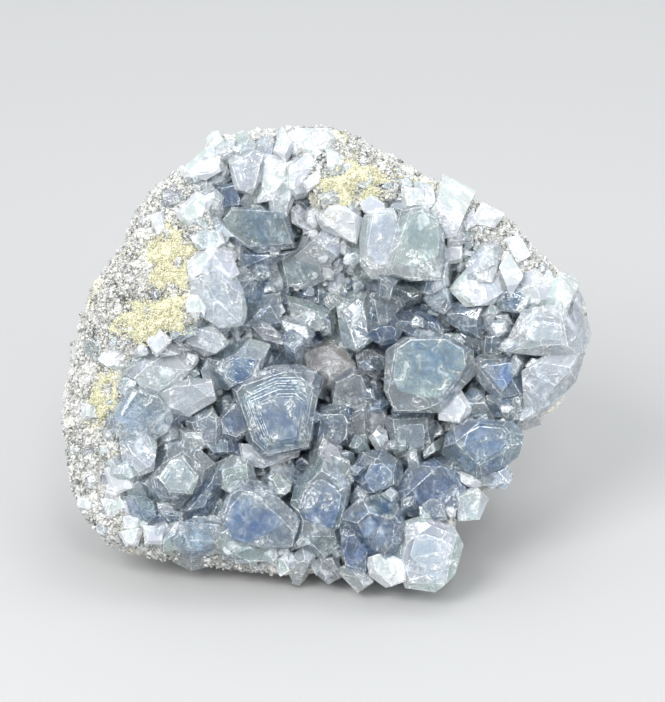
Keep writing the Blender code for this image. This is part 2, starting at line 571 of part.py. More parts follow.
def make_shell(name, parts, cutters, swell=0.0):
    """Make the dome with rim crystals grown on it and its hollow cut out, swollen where a gap is wanted."""
    shell = make_object(name, rock_dome(), parts)
    thin_out(shell, ROCK_SHARE_KEPT)
    swell_out(shell, swell)
    grown = make_collection(name + " rim crystals")
    for crystal in RIM_CRYSTALS:
        make_cutter(crystal.name, crystal_solid(crystal, crystal.out - RIM_ROOT, swell), grown)
    apply_boolean(shell, "UNION", grown)
    rings = [hollow_ring(scale, out + swell, inset=swell) for scale, out in HOLLOW_STEPS]
    hollow = make_cutter(name + " hollow", triangulated(loft(rings)), cutters)
    apply_boolean(shell, "DIFFERENCE", hollow)
    return shell


def make_matrix(parts, cutters):
    """Make the geode shell with its hollow and its flat underside."""
    matrix = make_shell("matrix", parts, cutters)
    apply_boolean(matrix, "DIFFERENCE", make_ground_cutter(cutters))
    return matrix


def make_crystals(parts, cutters, clearance):
    """Make the crust of crystals that lines the hollow, a gap clear of the rock."""
    rings = [hollow_ring(*step) for step in BED_BOTTOM_STEPS]
    rings += [hollow_ring(step, floor_out(step), BED_UNEVENNESS) for step in BED_STEPS]
    crystals = make_object("celestite_crystals", triangulated(loft(rings)), parts)
    dome = make_cutter("dome", rock_dome(), cutters)
    thin_out(dome, ROCK_SHARE_KEPT)
    apply_boolean(crystals, "INTERSECT", dome)
    blocks = make_collection("crystal blocks")
    for crystal in MIDDLE_CRYSTALS + RIGHT_CRYSTALS + UPPER_CRYSTALS + LOWER_CRYSTALS + LEFT_CRYSTALS:
        corners = crystal.outline
        x = sum(corner[0] for corner in corners) / len(corners)
        up = sum(corner[1] for corner in corners) / len(corners)
        root = floor_out(hollow_share(x, up)) - ROOT_DEPTH
        make_cutter(crystal.name, crystal_solid(crystal, root), blocks)
    apply_boolean(crystals, "UNION", blocks)
    apply_boolean(crystals, "DIFFERENCE", clearance)
    apply_boolean(crystals, "DIFFERENCE", make_ground_cutter(cutters, 2 * GAP))
    keep_largest_body(crystals)
    return crystals


def make_marl(parts, clearance):
    """Drape each pad of marl over the rock's face, a gap clear of it."""
    pads = []
    rock = BVHTree.FromObject(clearance, bpy.context.evaluated_depsgraph_get())
    size, height = MARL_LUMPS
    for name, middle, half_sizes in MARL_PATCHES:
        spot, normal, _, _ = rock.ray_cast(at(*middle, FACE_REACH) * MM, Vector((0.0, 1.0, 0.0)))
        turn = Vector((0.0, 0.0, 1.0)).rotation_difference(normal).to_matrix()
        bm = bmesh.new()
        bmesh.ops.create_icosphere(bm, subdivisions=2, radius=1.0)
        for vertex in bm.verts:
            swell = 1.0 + height * noise.noise(vertex.co * size / 2 + spot / MM)
            across = Vector((vertex.co.x * half_sizes[0] * swell, vertex.co.y * half_sizes[1] * swell, FACE_REACH)) * MM
            under, _, _, _ = rock.ray_cast(spot + turn @ across, -normal)
            vertex.co = under / MM + normal * (GAP + MARL_THICKNESS * swell * (1.0 + vertex.co.z) / 2)
        pads.append(make_object(name, bm, parts))
    return pads


def stand_up(parts):
    """Lean the specimen back on its underside, with the middle of its footprint at the origin."""
    stand = bpy.data.objects.new("specimen", None)
    parts.objects.link(stand)
    corners = []
    for thing in parts.objects:
        if thing.type == "MESH":
            thing.parent = stand
            corners += [lean_back(vertex.co) for vertex in thing.data.vertices]
    middle = [(min(corner[axis] for corner in corners) + max(corner[axis] for corner in corners)) / 2
              for axis in range(2)]
    stand.rotation_euler.x = -FACE_LEAN
    stand.location = (-middle[0], -middle[1], BASE_DROP * MM)


def main():
    """Build the specimen."""
    clear_scene()
    parts = make_collection("celestite cluster")
    cutters = make_collection("cutters")
    matrix = make_matrix(parts, cutters)
    clearance = mark_as_cutter(make_shell("clearance", cutters, cutters, 1.5 * GAP))
    crystals = make_crystals(parts, cutters, clearance)
    matrix.data.materials.clear()
    matrix.data.materials.append(make_material("geode rock", (0.66, 0.66, 0.62), 0.9))
    crystals.data.materials.clear()
    crystals.data.materials.append(make_material("celestite", (0.35, 0.47, 0.63), 0.15))
    for pad in make_marl(parts, clearance):
        pad.data.materials.clear()
        pad.data.materials.append(make_material("marl", (0.78, 0.74, 0.45), 0.9))
    stand_up(parts)


main()
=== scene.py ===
"""A celestite geode section: its rock shell, blue crystals, druse and marl.

Sizes are in millimetres on the upright specimen: x to the right, up, and out of the crystal face
towards the viewer. Stance turns them into metres on the specimen as it leans back on its underside.
"""

import logging
import math
from collections.abc import Sequence
from dataclasses import dataclass, field
from enum import Enum
from functools import lru_cache
from itertools import combinations

import bpy
import numpy as np
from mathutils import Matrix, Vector, noise

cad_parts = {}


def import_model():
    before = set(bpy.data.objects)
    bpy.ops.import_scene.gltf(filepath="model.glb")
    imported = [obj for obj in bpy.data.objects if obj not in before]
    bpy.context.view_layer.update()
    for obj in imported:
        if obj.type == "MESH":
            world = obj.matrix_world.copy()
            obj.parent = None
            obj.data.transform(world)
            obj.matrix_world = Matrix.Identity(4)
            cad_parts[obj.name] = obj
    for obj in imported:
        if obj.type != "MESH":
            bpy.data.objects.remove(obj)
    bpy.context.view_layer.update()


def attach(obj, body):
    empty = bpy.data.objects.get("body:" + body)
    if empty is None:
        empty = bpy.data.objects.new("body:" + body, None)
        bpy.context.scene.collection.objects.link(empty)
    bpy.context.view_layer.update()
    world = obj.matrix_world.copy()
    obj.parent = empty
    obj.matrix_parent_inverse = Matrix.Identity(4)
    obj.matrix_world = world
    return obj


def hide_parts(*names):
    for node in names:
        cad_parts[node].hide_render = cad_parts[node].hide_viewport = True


LOG = logging.getLogger("celestite")

Array = np.ndarray
Pair = tuple[float, float]
Colour = tuple[float, float, float]
Stops = tuple[tuple[float, Colour], ...]
Faces = list[tuple[int, ...]]
Random = np.random.Generator
Material = bpy.types.Material
Piece = bpy.types.Object
Socket = bpy.types.NodeSocket

MM = 0.001
FULL_TURN = 2.0 * math.pi
# Corners nearer than a hair are one, and directions that span less than FLAT meet in no point.
HAIR = 0.004
FLAT = 1e-4
# A block's first plane is its root.
ROOT_PLANE = 0
OUTWARD = np.array([0.0, 0.0, 1.0])
# How far the druse stays under the rock's face, and how deep the rim's blocks root.
BELOW_FACE = 0.8
RIM_ROOT = 9.0


class Tone(Enum):
    """The tints that the crystals of this specimen show."""

    CLEAR = "clear blue"
    BLUE = "blue"
    DEEP = "deep blue"
    PALE = "pale blue"
    GREEN = "sea green"
    SLATE = "slate"
    SMOKY = "smoky grey"
    BEIGE = "beige"
    FROSTED = "frosted white"


CLEAR, BLUE, DEEP, PALE, GREEN, SLATE, SMOKY, BEIGE, FROSTED = Tone


@dataclass(frozen=True)
class Crystal:
    """A crystal seen end on, with the lie of its end face.

    Attributes:
        name: What the crystal is called.
        tone: Its tint.
        out: How far the end face stands out of the specimen's face, at the crystal's middle.
        end: How large the end face is against the outline.
        outline: Its corners, to the right and up.
        rise: What the end face gains outwards over each millimetre to the right and up.
        aim: How far off the middle the end face shrinks towards.
        terraces: How many growth steps run round its end.
    """

    name: str
    tone: Tone
    out: float
    end: float
    outline: tuple[Pair, ...]
    rise: Pair = (0, 0)
    aim: Pair = (0, 0)
    terraces: int = 0


HOLLOW_CRYSTALS = tuple(Crystal(*row) for row in (
    ("great_block", BLUE, -3, 0.88, ((-24, -6.5), (-14.5, -2), (-7, -1.5), (-2.5, -4.5), (-5, -21.5),
     (-16.5, -23.5), (-20, -19.5)), (0.05, -0.05), (2, -5), 7),
    ("great_block_foot", PALE, -8, 0.8, ((-22, -21), (-7.5, -21.5), (-8, -24), (-16.5, -26.5), (-21, -25.5)),
     (0, 0.1), (0, -1)),
    ("round_blue", BLUE, -7, 0.7, ((-4.5, -17), (-1.5, -12), (3.5, -11.5), (5, -15), (4, -20.5), (-1, -23),
     (-4, -21)), (0.1, 0.1), (0, -1)),
    ("left_column", SMOKY, -10, 0.6, ((5, -12.5), (9, -10.5), (11, -15.5), (9.5, -21.5), (5.5, -22.5)),
     (-0.1, 0.3), (0, 2)),
    ("right_column", SMOKY, -11, 0.6, ((9, -10), (13.5, -10), (14.5, -16.5), (12.5, -22.5), (9.5, -21)),
     (0.2, 0.3), (0, 2)),
    ("green_column", GREEN, -8, 0.55, ((2, 14), (5.5, 16.5), (10, 16.5), (12.5, 6.5), (7, 2.5), (3.5, 4.5)),
     (0, -0.15), (0, -3)),
    ("grey_column", SLATE, -10, 0.6, ((10.5, 16.5), (17, 17.5), (18.5, 13.5), (15.5, 9), (12, 8)), (0.1, 0),
     (0, -1)),
    ("violet_spear", DEEP, -7, 0.35, ((15.5, 9.5), (19, 15), (23.5, 15), (29.5, 5.5), (21, 5.5)),
     (0.1, -0.1), (3, -5)),
    ("violet_grey_floor_block", SLATE, -12, 0.75, ((-12.5, 24), (-7, 28.5), (-1.5, 26), (-0.5, 20.5), (-6,
     18), (-11, 19)), (0, 0.1), (0, -3)),
    ("deep_blue_floor_point", DEEP, -14, 0.45, ((-0.5, 25), (2, 27.5), (5.5, 25.5), (5.5, 21.5), (1.5, 20),
     (-0.5, 22)), (0, 0.1)),
    ("long_wedge", SLATE, -9, 0.4, ((-28, 7.5), (-20.5, 15), (-12.5, 16.5), (-12, 7.5), (-20.5, 8), (-25.5,
     4)), (-0.25, 0.25), (5, 2), 2),
    ("grey_round_block", SLATE, -11, 0.7, ((-12, 10.5), (-7, 10.5), (-4, 6.5), (-7, 2), (-10.5, 2)),
     (0.2, -0.1)),
    ("grey_floor_block", GREEN, -13, 0.6, ((-12.5, 16.5), (-6, 14.5), (1, 12), (1.5, 8.5), (-4, 7.5), (-12,
     11.5)), (0, -0.2)),
    ("wedge_triangle", SMOKY, -10, 0.6, ((-20.5, 8.5), (-16.5, 10), (-12, 6), (-11, 2), (-16.5, 4.5)), (0.2,
     0.2), (0, 1)),
    ("pale_left_block", BLUE, -6, 0.6, ((-30, -1), (-26, 3), (-20.5, 5), (-14.5, 3.5), (-16.5, -3),
     (-21, -4.5), (-25, -7), (-28.5, -6)), (-0.05, -0.1), (1, -3), 1),
    ("beige_floor_block", BEIGE, -16, 0.7, ((-6.5, 1), (-3, 5), (0.5, 5.5), (6, -0.5), (6.5, -5), (3, -8),
     (-2.5, -7), (-6.5, -3)), (0.1, -0.1)),
    ("grey_floor_chip", SMOKY, -12, 0.6, ((7, 1.5), (11.5, 3.5), (15, 2), (14.5, -2.5), (11, -5.5),
     (8, -3.5)), (0.2, 0.1)),
    ("clear_middle_block", SLATE, -9, 0.65, ((14, -14.5), (18, -13.5), (25.5, -13), (26, -18.5), (25, -22.5),
     (20, -24), (16, -20.5)), (0, 0.1), (0, -2), 1),
    ("clear_middle_chip", PALE, -8, 0.5, ((10.5, -19.5), (12.5, -17), (14, -18), (14.5, -21), (12.5, -23)),
     (0, 0.1)),
    ("broad_block", CLEAR, -1, 0.86, ((14.5, 2), (18.5, 5), (29, 5.5), (35, 2), (35.5, -3.5), (31, -8),
     (27, -12.5), (16.5, -12.5), (14, -7)), (0.02, 0.08), (1, 6), 1),
    ("broad_block_chip", FROSTED, -4, 0.6, ((27, -9), (32.5, -8), (35, -12), (33, -15.5), (27.5, -14.5)),
     (0.1, 0.1), (0, 1)),
    ("right_lower_block", BLUE, -1, 0.62, ((29.5, -18.5), (34.5, -15), (45, -15.5), (47.5, -18.5),
     (46.5, -23.5), (42, -27), (37, -29), (32.5, -27), (28.5, -23.5)), (0.05, 0.1), (1, 4), 1),
    ("right_pale_block", PALE, 1, 0.5, ((44.5, 5.5), (48, 12), (54.5, 13), (63.5, 11), (64.5, 6.5), (62.5,
     2), (53, 1.5), (45, 2)), (-0.05, 0.05), (-3, 0), 2),
    ("right_lobe_block", PALE, -2, 0.5, ((48, -3), (53, 0.5), (63, 1.5), (60.5, -5.5), (55.5, -10.5),
     (52, -13.5), (48.5, -11.5)), (0.1, 0.15), (-1, 1)),
    ("right_blue_chip", BLUE, -2, 0.6, ((42, 14), (44, 17.5), (48, 17.5), (50, 14.5), (47, 12), (42.5,
     12.5)), (0, -0.1)),
    ("right_blue_wedge", CLEAR, -6, 0.5, ((38.5, 5.5), (45, 10.5), (45.5, 3), (42, 0.5), (38.5, 2)), (0.2,
     0.1), (0, -1)),
    ("frosted_block", FROSTED, -2, 0.6, ((30, 17.5), (34.5, 22.5), (42, 21), (44, 17), (40, 14), (34, 13.5)),
     (-0.1, -0.2)),
    ("frosted_block_foot", CLEAR, -4, 0.55, ((27, 13), (33.5, 14), (39.5, 13.5), (37.5, 5.5), (33.5, 7),
     (28.5, 10.5)), (0.1, 0.2), (0, -1)),
    ("frosted_chip", FROSTED, -5, 0.5, ((24.5, 16.5), (27, 19.5), (30.5, 17), (27.5, 13.5), (25, 14)), (-0.2,
     0)),
    ("ribbed_block", CLEAR, -4, 0.7, ((34, -1), (38.5, 1), (47, 0.5), (49, -9), (43.5, -10.5), (39, -7)),
     (-0.15, 0.1), (1, 1), 2),
    ("right_lower_chip", PALE, -5, 0.6, ((31, -34.5), (36, -31.5), (39, -34.5), (37, -39), (32.5, -39.5)),
     (0.2, 0.2), (-1, 1)),
    ("right_lower_foot", SLATE, -5, 0.6, ((37, -29.5), (44, -26), (45, -29), (43.5, -31.5), (39, -31.5)),
     (0.1, 0.3), (-1, 1)),
    ("pale_tablet_left", PALE, 0, 0.82, ((9, 36), (15.5, 37), (17.5, 32.5), (17, 27), (14, 20.5), (10.5,
     20.5), (8, 24), (8, 30.5)), (0.1, 0.1), (2, 4), 1),
    ("pale_tablet_right", GREEN, 1, 0.84, ((17.5, 36), (23, 37.5), (27.5, 34), (28, 27), (27, 20), (20.5,
     20), (14, 21.5), (17, 27.5)), (-0.05, 0.12), (1, 5), 1),
    ("dark_block", CLEAR, -5, 0.85, ((-26, 34), (-23.5, 37.5), (-10.5, 36), (-9, 28), (-17.5, 27), (-22.5,
     29.5)), (0, 0.25), (2, 4)),
    ("dark_block_side", PALE, -8, 0.7, ((-26, 34), (-21.5, 29.5), (-22, 25), (-25.5, 27)), (0.3, 0)),
    ("dark_block_wedge", BLUE, -9, 0.7, ((-25.5, 26.5), (-9, 27), (-15, 23.5), (-22, 22.5)), (0.1, 0.3), (1,
     2)),
    ("small_blue_cube", DEEP, -4, 0.75, ((-27.5, 42.5), (-23.5, 43.5), (-22, 38.5), (-27, 38)), (0, 0.2)),
    ("upper_grey_block", PALE, -2, 0.7, ((-24.5, 49.5), (-19.5, 52), (-16, 50), (-17, 45), (-19, 41.5), (-23,
     42.5)), (0, -0.1), (0, -1)),
    ("upper_corner_block", FROSTED, -4, 0.6, ((-35.5, 47.5), (-30.5, 52), (-26, 53), (-25.5, 47.5), (-30.5,
     45), (-34.5, 45.5)), (0.25, -0.3), (1, -1), 1),
    ("pale_green_chip", PALE, -4, 0.7, ((-13.5, 43), (-9.5, 44), (-8.5, 41), (-10.5, 36), (-14, 37), (-14.5,
     39.5)), (0.2, 0.1)),
    ("upper_white_block", FROSTED, -3, 0.6, ((-16.5, 51), (-11, 49.5), (-11, 44.5), (-14, 40), (-18.5, 39),
     (-18, 45)), (0.1, 0.1), (1, -1)),
    ("upper_right_chip", PALE, -3, 0.6, ((29.5, 33.5), (33.5, 34), (35, 29.5), (29.5, 28)), (-0.1, -0.1)),
    ("upper_right_cube", FROSTED, -4, 0.7, ((28, 28), (32.5, 28), (32.5, 24.5), (29, 24)), (0.1, 0.1)),
    ("upper_middle_chip", PALE, -7, 0.6, ((-7, 36.5), (-2, 37), (-1.5, 33), (-6, 31.5)), (0.1, 0.3)),
    ("middle_dome", BLUE, 0, 0.74, ((-2, -24.5), (2.5, -27.5), (5, -30.5), (4, -36), (2, -42), (-2.5, -40),
     (-7, -39), (-9, -35), (-7.5, -30)), (-0.02, 0.02), (0, -6), 1),
    ("middle_dome_foot", SLATE, -2, 0.7, ((-7.5, -39), (2.5, -42.5), (3.5, -48), (0, -50), (-4.5, -47),
     (-7.5, -44)), (0, 0.3), (0, 3)),
    ("lower_blue_block", BLUE, 3, 0.55, ((12.5, -33), (15.5, -34), (18, -39), (17, -45.5), (13.5, -49.5),
     (9, -48), (3.5, -42), (4, -38), (7.5, -34.5)), (0.05, 0.05), (2, -1)),
    ("lower_blue_side", DEEP, 1, 0.6, ((3, -42), (7.5, -42), (10.5, -48), (9, -52), (4.5, -50.5)), (-0.2,
     0.1)),
    ("lower_frosted_foot", FROSTED, 1, 0.6, ((9.5, -49), (13.5, -47.5), (18, -49.5), (18.5, -54),
     (14, -55.5), (10.5, -53)), (0, 0.3), (0, 1)),
    ("lower_pale_block", PALE, 2, 0.7, ((19, -40), (22.5, -39), (30.5, -41.5), (32.5, -45.5), (30.5, -52.5),
     (26, -56.5), (19, -55.5), (17, -49)), (0.1, 0.1), (0, -2), 1),
    ("dark_blue_block", DEEP, -5, 0.72, ((16.5, -32.5), (20, -27), (26, -25), (32.5, -29), (34, -33),
     (31, -37), (26, -39), (20.5, -38.5), (17.5, -36.5)), (0, 0.05), (3, -3)),
    ("ribbed_wedge", BLUE, -7, 0.6, ((26, -25), (30, -23.5), (36, -28.5), (34.5, -32.5), (30.5, -30.5)),
     (-0.2, 0.1)),
    ("forked_block", BLUE, -4, 0.6, ((5.5, -28.5), (8, -23.5), (13, -22.5), (17.5, -25.5), (18, -29),
     (14.5, -33.5), (9.5, -36), (7, -32.5)), (0.1, -0.1), (1, 0), 1),
    ("lower_left_prism", BLUE, 1, 0.84, ((-25, -34.5), (-21, -29.5), (-16.5, -30.5), (-7.5, -39),
     (-9.5, -45.5), (-15, -46), (-23, -44), (-26, -39)), (-0.05, 0.1), (-4, -5), 1),
    ("green_foot_block", GREEN, -1, 0.7, ((-28, -42.5), (-23, -39.5), (-14, -44.5), (-15, -49), (-22.5, -50),
     (-27.5, -47)), (-0.1, 0.3), (0, 2), 1),
    ("bottom_spike", PALE, -2, 0.4, ((2, -52), (5, -50.5), (9.5, -51.5), (10.5, -54.5), (7, -57)), (0, 0.2),
     (0, 2)),
    ("bottom_grey_block", SMOKY, -4, 0.6, ((-2.5, -49.5), (2, -49), (3, -53.5), (0, -55), (-2.5, -53)), (0,
     0.3), (0, 1)),
    ("bottom_tooth", PALE, -4, 0.5, ((-13, -49.5), (-10.5, -48.5), (-10, -52), (-12, -53)), (0, 0.2), (0,
     1)),
    ("stepped_block", SLATE, -3, 0.62, ((-48.5, -28), (-43.5, -23.5), (-35, -20), (-28.5, -26),
     (-30.5, -33.5), (-36, -37.5), (-43.5, -37), (-47.5, -33.5)), (-0.1, -0.05), (1, 0), 3),
    ("stepped_block_plateau", GREEN, 0, 0.9, ((-41.5, -29), (-38.5, -25), (-36, -24), (-32.5, -28.5),
     (-34, -32.5), (-39, -32.5)), (-0.1, -0.05), (0, 0), 1),
    ("blue_blade", BLUE, -4, 0.6, ((-35, -36), (-30.5, -30), (-26.5, -26), (-26, -30), (-29, -35),
     (-31, -40), (-35.5, -40)), (0.25, 0), (-1, 1)),
    ("lower_left_blue_chip", BLUE, -5, 0.6, ((-46, -39.5), (-41.5, -37.5), (-36, -38), (-36, -41.5),
     (-40.5, -43), (-45, -41.5)), (-0.1, 0.3), (0, 1)),
    ("left_green_block", GREEN, -6, 0.6, ((-28, -26), (-24, -24), (-19.5, -25), (-18.5, -29.5), (-23, -33.5),
     (-27, -31)), (0.1, -0.1)),
    ("left_smoky_block", PALE, -3, 0.6, ((-50, -3), (-45.5, 2), (-37, 2.5), (-32.5, -0.5), (-37.5, -5.5),
     (-44, -10.5), (-48, -8)), (-0.1, 0), (0, -1)),
    ("left_frosted_block", PALE, -4, 0.6, ((-45.5, -9.5), (-37, -5), (-29.5, -5), (-28.5, -10), (-35, -13.5),
     (-42.5, -12)), (-0.1, 0.15), (1, 0)),
    ("left_dark_chip", SMOKY, -8, 0.6, ((-37.5, 5.5), (-33.5, 4.5), (-31, 1), (-36, 0)), (0.2, 0.2)),
    ("left_grey_wedge", SLATE, -6, 0.55, ((-35.5, -15.5), (-30.5, -12.5), (-26, -15.5), (-28, -22),
     (-32.5, -21)), (0.1, 0.2), (0, 1)),
    ("left_small_block", BLUE, -6, 0.7, ((-26.5, -14), (-24, -11), (-20.5, -13), (-19.5, -17.5),
     (-23, -19.5), (-26, -18.5)), (0.1, 0)),
    ("left_slate_chip", SLATE, -6, 0.6, ((-43, -13), (-38, -10.5), (-34.5, -14), (-40, -16.5)), (0, 0.3)),
    ("left_deep_chip", DEEP, -9, 0.6, ((-29, -19.5), (-26, -16), (-22.5, -20.5), (-22.5, -24), (-26.5, -24)),
     (0, 0.2)),
))

RIM_CRYSTALS = tuple(Crystal(*row) for row in (
    ("rim_slab", FROSTED, -4, 0.6, ((35, 34), (38, 38.5), (43, 36), (40.5, 33))),
    ("rim_chip_right", FROSTED, -4, 0.6, ((43.5, 29.5), (47, 30.5), (49.5, 26), (46, 24))),
    ("rim_block_right", FROSTED, -4, 0.6, ((50.5, 17), (54.5, 19.5), (59, 15.5), (55.5, 13), (51.5, 13.5))),
    ("rim_block_upper", FROSTED, 0, 0.6, ((18, 42.5), (22.5, 41.5), (23.5, 38), (18.5, 37.5))),
    ("rim_block_left", FROSTED, -1, 0.6, ((-37.5, 36.5), (-32.5, 41), (-29, 39), (-31.5, 34), (-35.5, 33))),
    ("rim_tooth_left", FROSTED, -3, 0.6, ((-44, 35), (-41, 36.5), (-40, 32), (-42, 30.5))),
    ("rim_blade_left", FROSTED, 0, 0.5, ((-34.5, 24), (-30, 28.5), (-26.5, 27), (-30, 22.5), (-34, 20))),
    ("rim_chip_left", FROSTED, 0, 0.6, ((-35, 14.5), (-31.5, 17), (-28.5, 14.5), (-30.5, 12), (-34.5, 12))),
    ("rim_tooth_lower", FROSTED, -2, 0.5, ((-51.5, -42.5), (-46, -41.5), (-47.5, -45.5), (-50, -45))),
    ("rim_chip_lower", FROSTED, -2, 0.5, ((-45.5, -41), (-41, -41.5), (-41.5, -45), (-45, -45))),
    ("rim_block_lower", FROSTED, -1, 0.6, ((-55, -27), (-50, -26), (-48.5, -31), (-53, -33))),
    ("rim_chip_low", FROSTED, -3, 0.6, ((-56, -34.5), (-52, -33.5), (-50, -36.5), (-54, -38.5))),
    ("rim_crown_lump", FROSTED, -4, 0.6, ((-10.5, 55.5), (-7, 57), (0, 57), (1.5, 55.5), (0, 51.5), (-7,
     50)), (0, -0.2)),
))


@dataclass(frozen=True)
class Stance:
    """How the upright specimen stands: leaned back, with its face's centre at a known place.

    Attributes:
        lean: The face's lean from upright, in radians.
        centre: The place of the face's centre, in metres.
    """

    lean: float = math.radians(28.0)
    centre: tuple[float, float, float] = (0.00094, -0.01203, 0.056)

    def place(self, points: Array) -> Array:
        """Turn x, up, out in millimetres into the leaning specimen's metres.

        Formula: Y is up times the lean's sine less out times its cosine, and Z is out times the
        sine plus up times the cosine, both from the face's centre.

        Args:
            points: An array whose last axis holds x, up and out.

        Returns:
            The places, in metres.
        """
        x, up, out = points[..., 0], points[..., 1], points[..., 2]
        sine, cosine = math.sin(self.lean), math.cos(self.lean)
        turned = np.stack([x, up * sine - out * cosine, out * sine + up * cosine], axis=-1)
        return turned * MM + np.array(self.centre)

    def outward(self) -> Vector:
        """Give the direction that the crystal face looks in."""
        return Vector((0.0, -math.cos(self.lean), math.sin(self.lean)))


def unit(ways: Array) -> Array:
    """Bring directions to length one."""
    return ways / np.linalg.norm(ways, axis=-1, keepdims=True)


def lattice_value(cells: Array, seed: int) -> Array:
    """Give each whole-numbered cell a fixed value from 0 to 1.

    Formula: the three numbers are mixed with large odd multipliers and folded onto themselves.

    Args:
        cells: Whole numbers, three to a cell.
        seed: Which of many such fields of values to use.

    Returns:
        One value for each cell.
    """
    multipliers, seed_multiplier, fold_multiplier = (374761393, 668265263, 1440662683), 974634777, 1274126177
    word, half_word = 0xFFFFFFFF, 0xFFFF
    whole = cells.astype(np.int64)
    mixed = sum(whole[..., way] * multiplier for way, multiplier in enumerate(multipliers))
    mixed = mixed + seed * seed_multiplier
    mixed = (mixed ^ (mixed >> 13)) & word
    mixed = (mixed * fold_multiplier) & word
    return ((mixed ^ (mixed >> 16)) & half_word) / float(half_word)


def smooth_noise(points: Array, size: float, seed: int) -> Array:
    """Give smooth hills and hollows from -1 to 1.

    Formula: the eight lattice values round a point, blended by the smooth step of its place between
    them.

    Args:
        points: Places in millimetres.
        size: The width of a hill in millimetres.
        seed: Which field of values to use.

    Returns:
        One height for each point.
    """
    scaled = points / size
    base = np.floor(scaled)
    part = scaled - base
    blend = part * part * (3.0 - 2.0 * part)
    total = np.zeros(points.shape[:-1])
    for corner in np.ndindex(2, 2, 2):
        step = np.array(corner)
        share = np.prod(np.where(step == 1, blend, 1.0 - blend), axis=-1)
        total += share * lattice_value(base + step, seed)
    return 2.0 * total - 1.0


def layered_noise(points: Array, layers: Sequence[Pair], seed: int) -> Array:
    """Add smooth noise of several sizes: the sum of each layer's height times its noise."""
    return sum(height * smooth_noise(points, size, seed + index)
               for index, (size, height) in enumerate(layers))


def faceted_noise(points: Array, size: float, seed: int) -> Array:
    """Give broken facets from about -1 to 1, as a sugary crust has.

    Formula: space is shared out to the nearest of scattered seeds, and each seed's facet is its own
    height plus its own tilt times the way from the seed.

    Args:
        points: Places in millimetres.
        size: The spacing of the seeds in millimetres.
        seed: Which field of values to use.

    Returns:
        One height for each point.
    """
    scaled = points / size
    base = np.floor(scaled)
    nearest = np.full(points.shape[:-1], np.inf)
    height = np.zeros(points.shape[:-1])
    for corner in np.ndindex(3, 3, 3):
        cell = base + np.array(corner) - 1
        random = [lattice_value(cell, seed + 11 * index) for index in range(7)]
        away = scaled - cell - np.stack(random[:3], axis=-1)
        distance = np.sum(away * away, axis=-1)
        tilt = 2.0 * np.stack(random[3:6], axis=-1) - 1.0
        facet = 2.0 * random[6] - 1.0 + np.sum(tilt * away, axis=-1)
        closer = distance < nearest
        nearest = np.where(closer, distance, nearest)
        height = np.where(closer, facet, height)
    return height


def smooth_step(value: Array, low: float, high: float) -> Array:
    """Ease from 0 at low to 1 at high: three of the share squared less two of it cubed."""
    share = np.clip((value - low) / (high - low), 0.0, 1.0)
    return share * share * (3.0 - 2.0 * share)


